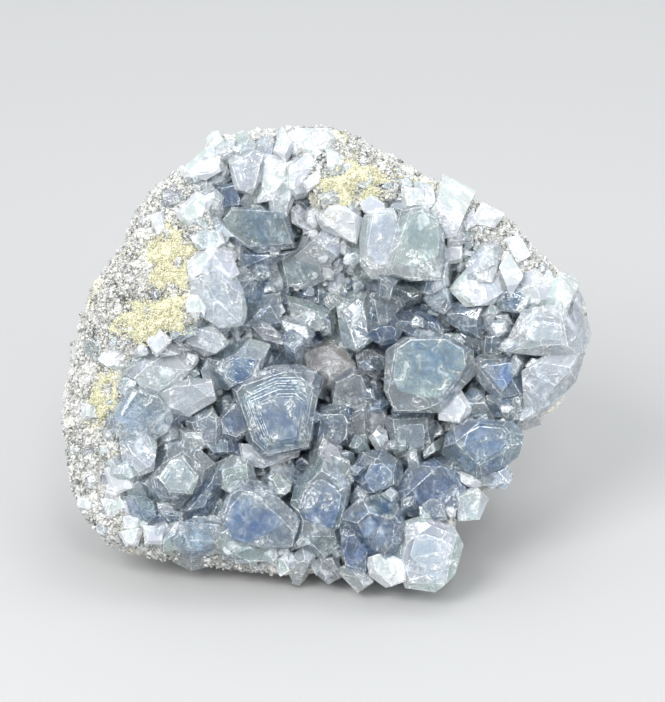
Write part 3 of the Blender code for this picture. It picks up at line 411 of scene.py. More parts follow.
@dataclass(frozen=True)
class Dome:
    """The geode shell's outer shape: a rounded face and a deeper, uneven back.

    Attributes:
        centre: The outline's centre on the face.
        radii: The outline, by angle in degrees and radius.
        rounding: How deep the rim's rounding goes.
        rim_fullness: The power of the rim's curve.
        back_depth: The back's depth behind the rim.
        back_sag: How much deeper the bottom of the back is than its middle.
        back_fullness: The power of the back's curve.
        lumps: The size and height of the lumps.
        breaks: The broken faces: azimuth and tilt in degrees, and distance.
        break_cut: How much of what stands past a broken face is cut away.
        base_drop: How far down the underside lies, along the upright of the room.
    """

    centre: Pair = (-2.0, -1.0)
    radii: tuple[Pair, ...] = (
        (0, 65.5), (12, 67.5), (24, 62), (36, 59), (48, 54.5), (60, 53.5), (75, 55), (90, 59.5), (102, 60),
        (114, 62.5), (126, 61), (140, 59), (156, 59), (170, 62), (186, 64), (198, 69), (208, 72.5),
        (218, 70.5), (228, 64.5), (240, 58), (252, 54), (264, 53), (276, 53.5), (288, 57.5), (296, 59),
        (304, 55.5), (312, 51), (324, 51), (340, 51), (350, 60),
    )
    rounding: float = 14.0
    rim_fullness: float = 3.2
    back_depth: float = 40.0
    back_sag: float = 20.0
    back_fullness: float = 2.6
    lumps: tuple[Pair, ...] = ((15.0, 2.0), (6.5, 0.8))
    breaks: tuple[tuple[float, float, float], ...] = (
        (200, 35, 61.0), (150, 60, 57.0), (320, 40, 52.0), (75, 30, 53.5), (20, 62, 55.5), (250, 55, 72.0),
    )
    break_cut: float = 0.8
    base_drop: float = 56.0

    def radius(self, degrees: Array) -> Array:
        """Read the outline by a closed Catmull-Rom curve through the radii, in angle and radius."""
        knots = np.array(self.radii, dtype=float)
        angles = np.append(knots[:, 0], 360.0)
        degrees = np.mod(degrees, 360.0)
        first = np.searchsorted(angles, degrees, side="right") - 1
        share = (degrees - angles[first]) / (angles[first + 1] - angles[first])
        before, here, after, beyond = (knots[(first + step) % len(knots), 1] for step in (-1, 0, 1, 2))
        return 0.5 * (2 * here + (after - before) * share
                      + (2 * before - 5 * here + 4 * after - beyond) * share ** 2
                      + (3 * here - before - 3 * after + beyond) * share ** 3)

    def polar(self, places: Array) -> tuple[Array, Array, Array]:
        """Give the direction and way of places from the centre, and the outline's radius there."""
        off = places - np.array(self.centre)
        angle = np.arctan2(off[..., 1], off[..., 0])
        return angle, np.linalg.norm(off, axis=-1), self.radius(np.degrees(angle))

    def margin(self, places: Array) -> Array:
        """Measure how far places on the face are inside the outline, along the line from its centre."""
        _, way, radius = self.polar(places)
        return radius - way

    def rim_level(self, share: Array) -> Array:
        """Give how far out the smooth face is at shares of the radius, by the rim's superellipse."""
        return self.rounding * ((1.0 - share ** self.rim_fullness) ** (1.0 / self.rim_fullness) - 1.0)

    def level(self, places: Array) -> Array:
        """Give how far out the smooth face is at places."""
        _, way, radius = self.polar(places)
        return self.rim_level(np.clip(way / radius, 0.0, 1.0))

    def surface(self, angle: Array, share: Array, front: bool, uneven: bool = True) -> Array:
        """Place the shell's points.

        Formula: the share of the outline's radius gives the place across, and a superellipse of the
        share gives the depth, before the lumps push it out and the broken faces cut it back.

        Args:
            angle: The direction on the face, in radians.
            share: How far out towards the outline, from 0 to 1.
            front: Whether the points are on the face or on the back.
            uneven: Whether the lumps are on it.

        Returns:
            The x, up and out of each point.
        """
        share = np.clip(share, 0.0, 1.0)
        radius = self.radius(np.degrees(angle)) * share
        across = np.stack([share * np.cos(angle), share * np.sin(angle)], axis=-1)
        level = np.sqrt(np.clip(1.0 - share ** 2, 0.0, 1.0))
        if front:
            depth = self.rim_level(share)
        else:
            reach = self.back_depth - self.back_sag * across[..., 1]
            depth = -self.rounding - reach * (1.0 - share ** self.back_fullness) ** (1.0 / self.back_fullness)
            level = -level
        points = np.stack([self.centre[0] + radius * np.cos(angle),
                           self.centre[1] + radius * np.sin(angle), depth], axis=-1)
        direction = np.concatenate([across, level[..., None]], axis=-1)
        if uneven:
            points = points + direction * self.lump_heights(points)[..., None]
        for azimuth, tilt, distance in self.breaks:
            turn, lift = math.radians(azimuth), math.radians(tilt)
            flat = math.cos(lift)
            normal = np.array([flat * math.cos(turn), flat * math.sin(turn), -math.sin(lift)])
            past = np.clip(points @ normal - distance, 0.0, None)
            points = points - past[..., None] * normal * self.break_cut
        return points

    def lump_heights(self, points: Array) -> Array:
        """Read the lumps where the rock's solid has them, in Blender's own noise."""
        def lump(x: float, up: float, out: float) -> float:
            """Add the noise of each size at one place."""
            return sum(height * noise.noise(Vector((x, -out, up)) / size) for size, height in self.lumps)

        read = np.frompyfunc(lump, 3, 1)
        return read(points[..., 0], points[..., 1], points[..., 2]).astype(float)

    def rest(self, points: Array, stance: Stance) -> Array:
        """Raise what lies below the underside's level up to it, along the upright of the room."""
        sine, cosine = math.sin(stance.lean), math.cos(stance.lean)
        below = np.clip(-self.base_drop - (points[..., 2] * sine + points[..., 1] * cosine), 0.0, None)
        return points + below[..., None] * np.array([0.0, cosine, sine])


@dataclass(frozen=True)
class Hollow:
    """The hollow in the face and the dish of druse that floors it.

    Attributes:
        centre: The centre that its outline is scaled about.
        outline: Its corners, to the right and up.
        wall: How far out its steps lie, by share of the outline.
        edge: The druse floor's level at the outline.
        middle: The druse floor's level at the centre.
    """

    centre: Pair = (4.0, -7.5)
    outline: tuple[Pair, ...] = (
        (66, 8), (64, -8), (51, -20), (50, -33), (40, -45), (33, -57), (17, -60), (0, -57), (-9.5, -53.5),
        (-19.5, -50), (-31.5, -46), (-44, -43), (-49.5, -37.5), (-52, -29.5), (-51, -22), (-50.5, -12.5),
        (-51, -2.5), (-46.5, 3.5), (-38.5, 6.5), (-31.5, 10), (-29.5, 17), (-30, 24.5), (-28, 33), (-31, 39),
        (-34.5, 44), (-37, 49), (-30, 55), (-19, 58), (-9.5, 57), (-7, 49), (-4.5, 38), (4, 35), (13.5, 39),
        (25, 40.5), (31, 35), (37.5, 26), (47, 20.5), (56.5, 17), (65, 14),
    )
    wall: tuple[Pair, ...] = (
        (0.0, -29.0), (0.12, -29.0), (0.45, -27.0), (0.72, -22.0), (0.88, -15.0), (0.97, -8.5), (1.0, -4.0),
    )
    edge: float = -5.0
    middle: float = -22.0

    def reach(self, angle: Array) -> Array:
        """Give the outline's distance from the centre in a direction.

        Formula: the two corners on either side of the direction span an edge, and the line of sight
        meets it where the cross products balance.

        Args:
            angle: The direction, in radians.

        Returns:
            The distance in millimetres.
        """
        corners = np.array(self.outline, dtype=float) - np.array(self.centre)
        corner_angles = np.mod(np.arctan2(corners[:, 1], corners[:, 0]), FULL_TURN)
        order = np.argsort(corner_angles)
        corners, corner_angles = corners[order], corner_angles[order]
        after = np.searchsorted(corner_angles, np.mod(angle, FULL_TURN)) % len(corners)
        start, end = corners[after - 1], corners[after]
        edge = end - start
        sight = np.stack([np.cos(angle), np.sin(angle)], axis=-1)
        turn = sight[..., 0] * edge[..., 1] - sight[..., 1] * edge[..., 0]
        return (start[..., 0] * edge[..., 1] - start[..., 1] * edge[..., 0]) / turn

    def share(self, x: Array, up: Array) -> Array:
        """Say how far places lie towards the outline: 0 at the centre and 1 on it."""
        dx, dup = x - self.centre[0], up - self.centre[1]
        return np.hypot(dx, dup) / self.reach(np.arctan2(dup, dx))

    def floor(self, share: Array) -> Array:
        """Give the druse floor's level: the centre's, rising with the share squared to the edge's."""
        return self.middle + (self.edge - self.middle) * np.clip(share, 0.0, 1.0) ** 2

    def druse_level(self, dome: Dome, share: Array, spots: Array) -> Array:
        """Give the druse floor's level where it also stays under the rock's face."""
        return np.minimum(self.floor(share), dome.level(spots) - BELOW_FACE)

    def wall_level(self, share: Array) -> Array:
        """Give the level of the rock under the druse, straight between the wall's steps."""
        steps = np.array(self.wall)
        return np.interp(share, steps[:, 0], steps[:, 1])


def put_in(name: str, data: bpy.types.ID) -> Piece:
    """Put an object with its data into the scene."""
    thing = bpy.data.objects.new(name, data)
    bpy.context.scene.collection.objects.link(thing)
    return thing


class Mesh:
    """Vertices, faces and marks that are gathered from many small shapes and made one piece."""

    def __init__(self) -> None:
        """Start with nothing."""
        self.points: list[Array] = []
        self.faces: Faces = []
        self.marks: dict[str, list] = {}
        self.slots: list[int] = []
        self.count = 0

    def add(self, points: Array, faces: Faces, slot: int | list[int], **marks: Sequence) -> None:
        """Add a shape.

        Args:
            points: Its vertices, x, up and out.
            faces: Its faces, by vertex of this shape.
            slot: Which material it takes, or one for each face.
            marks: A value or place for each face, by the mark's name.
        """
        self.points.append(points)
        self.faces += [tuple(corner + self.count for corner in face) for face in faces]
        self.slots += [slot] * len(faces) if isinstance(slot, int) else slot
        for name, values in marks.items():
            self.marks.setdefault(name, []).extend(values)
        self.count += len(points)

    def make(self, name: str, stance: Stance, materials: Sequence[Material], lowest: float = 0.4) -> Piece:
        """Make the piece, with its place in its mesh. Roots that would pass the underside end at it.

        Args:
            name: The piece's name.
            stance: How the specimen stands.
            materials: The materials that the slots name.
            lowest: How far over the underside the lowest point may be, in millimetres.

        Returns:
            The piece.
        """
        places = stance.place(np.concatenate(self.points))
        places[:, 2] = np.maximum(places[:, 2], lowest * MM)
        mesh = bpy.data.meshes.new(name)
        mesh.from_pydata(places.tolist(), [], self.faces)
        for mark, listed in self.marks.items():
            values = np.array(listed) * (MM if mark == "girth" else 1.0)
            kind, part = ("FLOAT", "value")
            if values.ndim == 2:
                kind, part, values = "FLOAT_VECTOR", "vector", stance.place(values).ravel()
            mesh.attributes.new(mark, kind, "FACE").data.foreach_set(part, values.astype(np.float32))
        mesh.polygons.foreach_set("material_index", np.array(self.slots, dtype=np.int32))
        for material in materials:
            mesh.materials.append(material)
        return put_in(name, mesh)


def grid_faces(rows: int, columns: int) -> Faces:
    """List the quads of a grid that closes on itself sideways: each cell's four corners in turn."""
    row, column = np.meshgrid(np.arange(rows - 1), np.arange(columns), indexing="ij")
    beside = (column + 1) % columns
    quads = np.stack([row * columns + column, row * columns + beside, (row + 1) * columns + beside,
                      (row + 1) * columns + column], axis=-1)
    return [tuple(quad) for quad in quads.reshape(-1, 4).tolist()]


def fan_faces(ring: int, columns: int, tip: int, upwards: bool) -> Faces:
    """List the triangles that close a grid's ring onto a tip vertex."""
    start = ring * columns
    corners = [(start + column, start + (column + 1) % columns) for column in range(columns)]
    return [(first, second, tip) if upwards else (second, first, tip) for first, second in corners]


def closed_skin(rings: Array) -> tuple[Array, Faces]:
    """Close a grid of rings with a fan at each end, whose tip is the mean of the end ring."""
    rows, columns = rings.shape[:2]
    tips = np.stack([rings[0].mean(axis=0), rings[-1].mean(axis=0)])
    faces = grid_faces(rows, columns) + fan_faces(0, columns, rows * columns, False)
    faces += fan_faces(rows - 1, columns, rows * columns + 1, True)
    return np.concatenate([rings.reshape(-1, 3), tips]), faces


def polar_grid(columns: int, shares: Array) -> list[Array]:
    """Give each grid point's direction and share: the columns go round and the rows outwards."""
    return np.meshgrid(np.linspace(0.0, FULL_TURN, columns, endpoint=False), shares)


def grid_normals(points: Array) -> Array:
    """Give a grid's outward normals: the cross product of its steps round and along it."""
    around = np.roll(points, -1, axis=1) - np.roll(points, 1, axis=1)
    along = np.gradient(points, axis=0)
    normals = np.cross(along, around)
    return normals / np.maximum(np.linalg.norm(normals, axis=-1, keepdims=True), 1e-9)


@dataclass
class RockShell:
    """The sugary rock of the geode, as one closed skin over its face, hollow and back.

    Attributes:
        dome: Its outer shape.
        hollow: The hollow in its face.
        columns: How many points go round it.
        hollow_rings: Rings under the druse.
        rim_rings: Rings on the face's rim.
        back_rings: Rings on the back.
        rim_share: The share of the outline at which the rim's close rings begin.
        sugar: The size and height of its crystalline grains.
        pits: The size and height of its smooth unevenness.
        coarse: The size from which grains go over the whole skin.
        calm: How far from the centre the finer grains reach their full height.
        sink: How far the whole skin is drawn in, so that its grains stay inside the solid's size.
        brink: The shares of the hollow's outline between which the face begins to sink.
        kept_rim: How far inside the shell's edge the sinking begins and is full.
        wall_gap: How far the sunk face lies under the wall's steps.
    """

    dome: Dome
    hollow: Hollow
    columns: int = 640
    hollow_rings: int = 6
    rim_rings: int = 72
    back_rings: int = 76
    rim_share: float = 0.55
    sugar: tuple[Pair, ...] = ((3.6, 0.45), (1.7, 0.34), (0.9, 0.2))
    pits: tuple[Pair, ...] = ((9.0, 0.5), (2.6, 0.25))
    coarse: float = 3.0
    calm: float = 40.0
    sink: float = 0.45
    brink: Pair = (0.985, 1.03)
    kept_rim: Pair = (2.0, 4.5)
    wall_gap: float = 0.6

    def skin(self) -> Array:
        """Place the whole skin, ring by ring from the face's middle round the rim to the back's middle."""
        quarter = math.pi / 2
        inner = np.linspace(0.02, self.rim_share, self.hollow_rings, endpoint=False)
        rim = np.sin(np.linspace(0.0, quarter, self.rim_rings)) ** 0.9
        rim = self.rim_share + (1.0 - self.rim_share) * rim
        back = np.cos(np.linspace(0.0, quarter, self.back_rings + 1))[1:-1]
        front = self.dome.surface(*polar_grid(self.columns, np.concatenate([inner, rim])), True)
        behind = self.dome.surface(*polar_grid(self.columns, back), False)
        return np.concatenate([front, behind])

    def roughen(self, points: Array) -> Array:
        """Push the skin along its normals by grains and pits, finely only far from the centre."""
        height = layered_noise(points, self.pits, 5)
        way = np.hypot(points[..., 0] - self.dome.centre[0], points[..., 1] - self.dome.centre[1])
        for index, (size, tall) in enumerate(self.sugar):
            share = smooth_step(way, 0.0, self.calm) if size < self.coarse else 1.0
            height = height + tall * share * faceted_noise(points, size, 31 + index * 7)
        return points + grid_normals(points) * (height - self.sink)[..., None]

    def dig(self, points: Array) -> Array:
        """Sink the face in the hollow's outline to the wall under the druse, short of the shell's edge."""
        share = self.hollow.share(points[..., 0], points[..., 1])
        inside = 1.0 - smooth_step(share, *self.brink)
        inside = inside * smooth_step(self.dome.margin(points[..., :2]), *self.kept_rim)
        level = np.minimum(self.hollow.wall_level(share) - self.wall_gap, points[..., 2])
        front = np.arange(points.shape[0])[:, None] < self.hollow_rings + self.rim_rings
        dug = points.copy()
        dug[..., 2] = np.where(front, points[..., 2] + (level - points[..., 2]) * inside, points[..., 2])
        return dug

    def make(self, stance: Stance, material: Material) -> Piece:
        """Build the shell as one closed piece that stands on the floor."""
        mesh = Mesh()
        mesh.add(*closed_skin(self.dome.rest(self.dig(self.roughen(self.skin())), stance)), 0)
        return mesh.make("rock_shell", stance, [material], 0.0)


@dataclass
class DruseFloor:
    """The bed of small crystals under the large ones, as a closed dish of facets.

    Attributes:
        hollow: The hollow that it floors.
        dome: The rock's outer shape.
        columns: How many points go round it.
        rings: How many rings its top has.
        facets: The size and height of its facets.
        thickness: How thick the dish is.
        inset: How far inside the shell's edge it ends.
    """

    hollow: Hollow
    dome: Dome
    columns: int = 360
    rings: int = 90
    facets: tuple[Pair, ...] = ((5.0, 1.1), (2.4, 0.7), (1.2, 0.25))
    thickness: float = 2.5
    inset: float = 3.0

    def make(self, stance: Stance, material: Material) -> Piece:
        """Build the dish: rings of the hollow's outline at the floor's level, and back underneath.

        Formula: along each line of sight the outline is drawn in by the share of it that lies inside
        the shell's edge, so that the rock keeps its rim where the hollow runs out of the shell.
        """
        angle, share = polar_grid(self.columns, np.linspace(0.01, 1.0, self.rings))
        sight = np.stack([np.cos(angle), np.sin(angle)], axis=-1)
        reach = self.hollow.reach(angle)[..., None] * sight
        inside = self.dome.margin(self.hollow.centre + reach * share[..., None]) > self.inset
        share = share * inside.mean(axis=0)
        spots = self.hollow.centre + reach * share[..., None]
        level = self.hollow.druse_level(self.dome, share, spots)
        top = np.concatenate([spots, level[..., None]], axis=-1)
        bottom = top[::-1].copy()
        for index, (size, tall) in enumerate(self.facets):
            top[..., 2] += tall * faceted_noise(top, size, 71 + index * 9)
        bottom[..., 2] -= self.thickness
        mesh = Mesh()
        mesh.add(*closed_skin(np.concatenate([top, bottom])), 0)
        return mesh.make("druse_floor", stance, [material])


@lru_cache(maxsize=None)
def triples(count: int) -> Array:
    """List every choice of three planes out of a number of them."""
    return np.array(list(combinations(range(count), 3))).T


@dataclass
class Planes:
    """A closed block as the planes that cut it out of space.

    Attributes:
        normals: Each plane's outward direction.
        offsets: Each plane's distance from the origin along it.
        edge: 1 for a worn edge and 0 for a facet; growth terraces dim it to 0.2 on edges turned away from the
            light, a painted highlight.
    """

    normals: Array
    offsets: Array
    edge: Array

    @classmethod
    def through(cls, normals: Array, points: Array) -> "Planes":
        """Set planes by a direction and a point each."""
        ways = unit(normals)
        return cls(ways, np.sum(ways * points, axis=1), np.zeros(len(ways)))

    def more(self, normals: Array, offsets: Array, edge: float) -> "Planes":
        """Add planes."""
        return Planes(np.concatenate([self.normals, normals]), np.concatenate([self.offsets, offsets]),
                      np.concatenate([self.edge, np.full(len(offsets), edge)]))

    def corners(self) -> Array:
        """Find the block's corners.

        Formula: three planes meet where their offsets and crossed directions say, and a meeting point
        is a corner if no plane leaves it outside. Corners nearer than a hair are one.

        Returns:
            The corners.
        """
        one, two, three = triples(len(self.offsets))
        a, b, c = self.normals[one], self.normals[two], self.normals[three]
        across = np.cross(b, c)
        volume = np.sum(a * across, axis=1)
        sound = np.abs(volume) > FLAT
        sums = (self.offsets[one][:, None] * across + self.offsets[two][:, None] * np.cross(c, a)
                + self.offsets[three][:, None] * np.cross(a, b))
        points = sums[sound] / volume[sound, None]
        points = points[(points @ self.normals.T <= self.offsets + HAIR / 4).all(axis=1)]
        apart = np.linalg.norm(points[:, None] - points[None], axis=2)
        return points[np.unique(np.argmax(apart < HAIR, axis=1))]

    def faces(self, points: Array) -> list[tuple[int, tuple[int, ...]]]:
        """List each plane's face: the corners on it, in order of their angle round its middle."""
        found = []
        for plane, (normal, offset) in enumerate(zip(self.normals, self.offsets)):
            members = np.flatnonzero(np.abs(points @ normal - offset) < HAIR)
            if len(members) < 3:
                continue
            spread = points[members] - points[members].mean(axis=0)
            side = np.cross(normal, np.eye(3)[np.argmin(np.abs(normal))])
            angle = np.arctan2(spread @ np.cross(normal, side), spread @ side)
            found.append((plane, tuple(members[np.argsort(angle)].tolist())))
        return found

    def worn(self, width: float, random: Random) -> "Planes":
        """Wear every edge above the root to a narrow face halfway between its two facets.

        Formula: half the width times the tangent of half the angle between the facets is how deep
        the cut goes at the edge.

        Args:
            width: The worn face's width.
            random: Where the unevenness comes from.

        Returns:
            The planes with the worn edges.
        """
        points, shortest = self.corners(), 3.0 * width
        sides: dict[tuple[int, int], list[int]] = {}
        for plane, corners in self.faces(points):
            for here, there in zip(corners, corners[1:] + corners[:1]):
                sides.setdefault((min(here, there), max(here, there)), []).append(plane)
        pairs = [(corner, *planes) for (corner, other), planes in sides.items()
                 if len(planes) == 2 and ROOT_PLANE not in planes
                 and np.linalg.norm(points[corner] - points[other]) > shortest]
        if not pairs:
            return self
        corner, one, two = np.array(pairs).T
        between = unit(self.normals[one] + self.normals[two])
        turn = np.arccos(np.clip(np.sum(self.normals[one] * self.normals[two], axis=1), -1.0, 1.0))
        depth = 0.5 * width * np.tan(turn / 2.0) * random.uniform(0.5, 1.5, len(pairs))
        return self.more(between, np.sum(between * points[corner], axis=1) - depth, 1.0)

    def knocked(self, cuts: int, deepest: float, random: Random) -> "Planes":
        """Take a few slanting chips off the outward end: each plane lies a little way inside the block.

        Args:
            cuts: How many chips.
            deepest: How deep the deepest goes.
            random: Where the chips' directions come from.

        Returns:
            The planes with the chips.
        """
        if cuts == 0:
            return self
        points = self.corners()
        way = unit(random.normal(size=(cuts, 3)) * 0.6 + OUTWARD)
        reach = (points @ way.T).max(axis=0)
        return self.more(way, reach - deepest * random.uniform(0.3, 1.0, cuts), 0.0)

    def moved(self, turn: Array, place: Array) -> "Planes":
        """Turn the block about the origin, then move it."""
        normals = self.normals @ turn.T
        return Planes(normals, self.offsets + normals @ place, self.edge)


def convex(outline: Sequence[Pair] | Array) -> Array:
    """Keep an outline's outermost corners, counter-clockwise: the furthest one in each direction."""
    points = np.array(outline, dtype=float)
    angle = np.linspace(0.0, FULL_TURN, 180, endpoint=False)
    furthest = np.argmax(points @ np.stack([np.cos(angle), np.sin(angle)]), axis=0)
    order = furthest[np.insert(furthest[1:] != furthest[:-1], 0, True)]
    return points[order[:-1] if order[0] == order[-1] else order]


def facing(axis: Array, twist: float) -> Array:
    """Give a turn that takes the third axis to a direction, with a twist about it."""
    axis = unit(axis)
    side = unit(np.cross(axis, [0.3, 0.9, 0.1]))
    other = np.cross(axis, side)
    first = side * math.cos(twist) + other * math.sin(twist)
    return np.stack([first, np.cross(axis, first), axis], axis=1)


@dataclass
class CrystalGrower:
    """Grows crystals as blocks cut by planes, into one mesh.

    Attributes:
        hollow: The hollow that the crystals root in.
        dome: The rock's outer shape, which the crystals stay rooted in.
        wear: The width of a worn edge.
        slope: How steeply the bevels round an end rise.
        intergrowth: How far the crystals grow into each other.
        root_depth: How far they root in the druse.
        riser: The height of a growth terrace.
        lit_side: The side of a crystal whose terraces are worn bright.
        seed: What the unevenness comes from.
        flake_slot: The material of healed cracks.
        mesh: What the crystals are gathered in.
    """

    hollow: Hollow
    dome: Dome
    wear: float = 0.15
    slope: float = 0.9
    intergrowth: float = 0.6
    root_depth: float = 3.5
    riser: float = 0.28
    # lit_side: The side of a crystal, towards the light, whose terrace edges get their full frosty white as a
    # painted highlight; the other sides keep a fifth of it.
    lit_side: Pair = (-0.5, 0.86)
    seed: int = 21
    flake_slot: int = 0
    mesh: Mesh = field(default_factory=Mesh)

    def __post_init__(self) -> None:
        """Start the unevenness."""
        self.random = np.random.default_rng(self.seed)

    def add(self, planes: Planes, slot: int, heart: Array, girth: float, shade: float) -> None:
        """Put a block into the mesh with its marks.

        Args:
            planes: The block.
            slot: Its material.
            heart: The middle of its coloured core, x, up and out.
            girth: How far the core reaches.
            shade: Where the whole crystal stands in its tint's range, from 0 to 1.
        """
        points = planes.corners()
        faces = planes.faces(points)
        facet = self.random.uniform(0.0, 1.0, len(planes.offsets))
        self.mesh.add(points, [corners for _, corners in faces], slot,
                      edge=[planes.edge[plane] for plane, _ in faces],
                      facet=[facet[plane] for plane, _ in faces],
                      shade=[shade] * len(faces), girth=[girth] * len(faces), heart=[heart] * len(faces))

    def prism(self, outline: Array, target: Array, middle: Array, end: float, out: float, rise: Array,
              root: float, upright: float) -> Planes:
        """Cut a bevelled prism.

        Formula: a side stands on each edge of the outline and a bevel leans in from it to the end
        face, whose own edge is the outline's drawn towards the target by the end's share.

        Args:
            outline: Its corners, counter-clockwise.
            target: Where the end face shrinks towards.
            middle: The outline's middle.
            end: How large the end face is against the outline.
            out: How far out the end face is at the middle.
            rise: What the end face gains over each millimetre.
            root: How far out the root is.
            upright: How far the sides lean either way.

        Returns:
            The block's planes, the root first.
        """
        random = self.random
        after = np.roll(outline, -1, axis=0)
        along = after - outline
        away = unit(np.stack([along[:, 1], -along[:, 0]], axis=1))
        mid = (outline + after) / 2.0
        reach = np.sum((mid - target) * away, axis=1)
        count = len(outline)
        uneven = np.where(random.uniform(size=count) < 0.3, 0.25, random.uniform(0.6, 1.25, count))
        inset = np.clip((1.0 - end) * reach * uneven, 0.3, None)
        steep = self.slope * random.uniform(0.6, 1.9, count)
        inner = mid - away * inset[:, None]
        level = out + (inner - middle) @ rise
        flat = np.zeros((count, 1))
        bevels = np.concatenate([away * steep[:, None], flat + 1.0], axis=1)
        sides = np.concatenate([away, random.uniform(-upright, upright, (count, 1))], axis=1)
        return Planes.through(
            np.concatenate([[[0.0, 0.0, -1.0], [-rise[0], -rise[1], 1.0]], sides, bevels]),
            np.concatenate([[[*middle, root], [*middle, out]], np.column_stack([mid, level - inset * steep]),
                            np.column_stack([inner, level])]))

    def grow(self, crystal: Crystal, slot: int, root: float | None = None) -> None:
        """Add one crystal that was read from its outline, with its growth terraces.

        Args:
            crystal: The crystal.
            slot: Its material.
            root: How far out its root lies, or None to root it in the druse.
        """
        outline = convex(crystal.outline)
        middle = outline.mean(axis=0)
        away = outline - middle
        width = np.linalg.norm(away, axis=1, keepdims=True)
        outline = outline + away / width * self.intergrowth
        half_width = float(width.mean())
        target = middle + np.array(crystal.aim)
        rise = np.array(crystal.rise)
        crown = self.slope * half_width * (1.0 - crystal.end)
        if root is None:
            root = float(self.hollow.floor(self.hollow.share(middle[0], middle[1]))) - self.root_depth
        root = min(root, float(self.dome.level(outline).min()) - 1.5)
        root = min(root, crystal.out - 1.6 * crown - self.root_depth - half_width * float(np.abs(rise).max()))
        sunk = self.riser * crystal.terraces
        heart = np.array([*(middle + target) / 2.0, crystal.out - 0.5 * half_width])
        shade = float(self.random.uniform())
        planes = self.prism(outline, target, middle, crystal.end, crystal.out - sunk, rise, root, 0.08)
        planes = planes.knocked(2 + int(half_width > 5.0), 0.16 * half_width, self.random)
        self.add(planes.worn(self.wear, self.random), slot, heart, half_width, shade)
        self.crack(target, crystal.out - sunk, half_width, shade)
        for step in range(crystal.terraces):
            size = crystal.end - 0.02 - 0.05 * (step + 1) + 0.012 * float(self.random.uniform(-1.0, 1.0))
            ring = target + (outline - target) * size
            top = crystal.out - sunk + self.riser * (step + 1)
            plate = self.prism(ring, target, middle, 0.985, top, rise, top - self.riser - 0.25, 0.02)
            plate = plate.worn(self.wear * 1.3, self.random)
            # Painted highlight: terrace edges that face the lit side keep their full frosty white, the others
            # only a fifth of it.
            plate.edge *= np.where(plate.normals[:, :2] @ np.array(self.lit_side) > 0.0, 1.0, 0.2)
            self.add(plate, slot, heart, half_width, shade)

    def crack(self, target: Array, out: float, half_width: float, shade: float) -> None:
        """Put thin flakes inside a crystal, where it cracked and healed.

        Args:
            target: The middle of its end face.
            out: How far out the end face is.
            half_width: Its half width.
            shade: Where it stands in its tint's range.
        """
        random, sides, half_thick = self.random, 5, 0.02 * OUTWARD
        step, flat = FULL_TURN / sides, np.zeros(sides)
        for _ in range(int(half_width * 0.7)):
            size = half_width * random.uniform(0.12, 0.34)
            across = target + random.uniform(-0.4, 0.4, 2) * half_width
            place = np.array([*across, out - size - random.uniform(0.4, 0.4 + 0.5 * half_width)])
            angle = np.arange(sides) * step + random.uniform(-0.3, 0.3, sides)
            ring = np.stack([np.cos(angle), random.uniform(0.3, 0.9) * np.sin(angle)], axis=1) * size
            ways = np.column_stack([np.cos(angle + step / 2.0), np.sin(angle + step / 2.0), flat])
            mids = np.column_stack([(ring + np.roll(ring, -1, axis=0)) / 2.0, flat])
            planes = Planes.through(np.concatenate([[-OUTWARD, OUTWARD], ways]),
                                    np.concatenate([[-half_thick, half_thick], mids]))
            axis = np.array([*random.normal(0.0, 0.8, 2), 1.0])
            planes = planes.moved(facing(axis, random.uniform(0.0, 6.0)), place)
            self.add(planes, self.flake_slot, place, half_width, shade)

    def free_room(self, places: Array, crystals: Sequence[Crystal]) -> tuple[Array, Array]:
        """Measure how far places are from the nearest outline, and how far out that crystal stands.

        Formula: a place's distance to each edge is that to the nearest point on it, and a place that
        is behind every edge of an outline is inside it, which makes its distance negative.

        Args:
            places: Places across the face.
            crystals: The crystals that take up room.

        Returns:
            The distances, and how far out the nearest crystal's end is.
        """
        room = np.full(len(places), np.inf)
        level = np.zeros(len(places))
        for crystal in crystals:
            outline = convex(crystal.outline)
            along = np.roll(outline, -1, axis=0) - outline
            off = places[:, None] - outline[None]
            share = np.clip(np.sum(off * along, axis=2) / np.sum(along * along, axis=1), 0.0, 1.0)
            distance = np.linalg.norm(off - share[..., None] * along, axis=2).min(axis=1)
            turn = along[:, 0] * off[..., 1] - along[:, 1] * off[..., 0]
            distance = np.where((turn > 0.0).all(axis=1), -distance, distance)
            nearer = distance < room
            room = np.where(nearer, distance, room)
            level = np.where(nearer, crystal.out, level)
        return room, level

    def small_block(self, place: Array, axis: Array, half: float, length: float, slot: int) -> None:
        """Add one small crystal of a made-up outline that points its own way.

        Args:
            place: Where its foot is.
            axis: The way that it points.
            half: Its half width.
            length: How far its end is from its foot.
            slot: Its material.
        """
        random = self.random
        count = int(random.integers(4, 8))
        angle = (np.arange(count) + random.uniform(-0.25, 0.25, count)) * FULL_TURN / count
        flat = random.uniform(0.5, 1.0)
        ring = np.stack([np.cos(angle), flat * np.sin(angle)], axis=1) * half
        outline = convex(ring * random.uniform(0.85, 1.15, (count, 1)))
        target = random.uniform(-0.3, 0.3, 2) * half
        planes = self.prism(outline, target, np.zeros(2), random.uniform(0.35, 0.85), length,
                            random.uniform(-0.35, 0.35, 2), -half * 1.2, 0.12)
        planes = planes.knocked(int(random.integers(0, 3)), 0.25 * half, random)
        planes = planes.moved(facing(axis, random.uniform(0.0, FULL_TURN)), place)
        heart = place + unit(axis) * (length - 0.5 * half)
        self.add(planes.worn(self.wear * 0.8, random), slot, heart, half, float(random.uniform()))

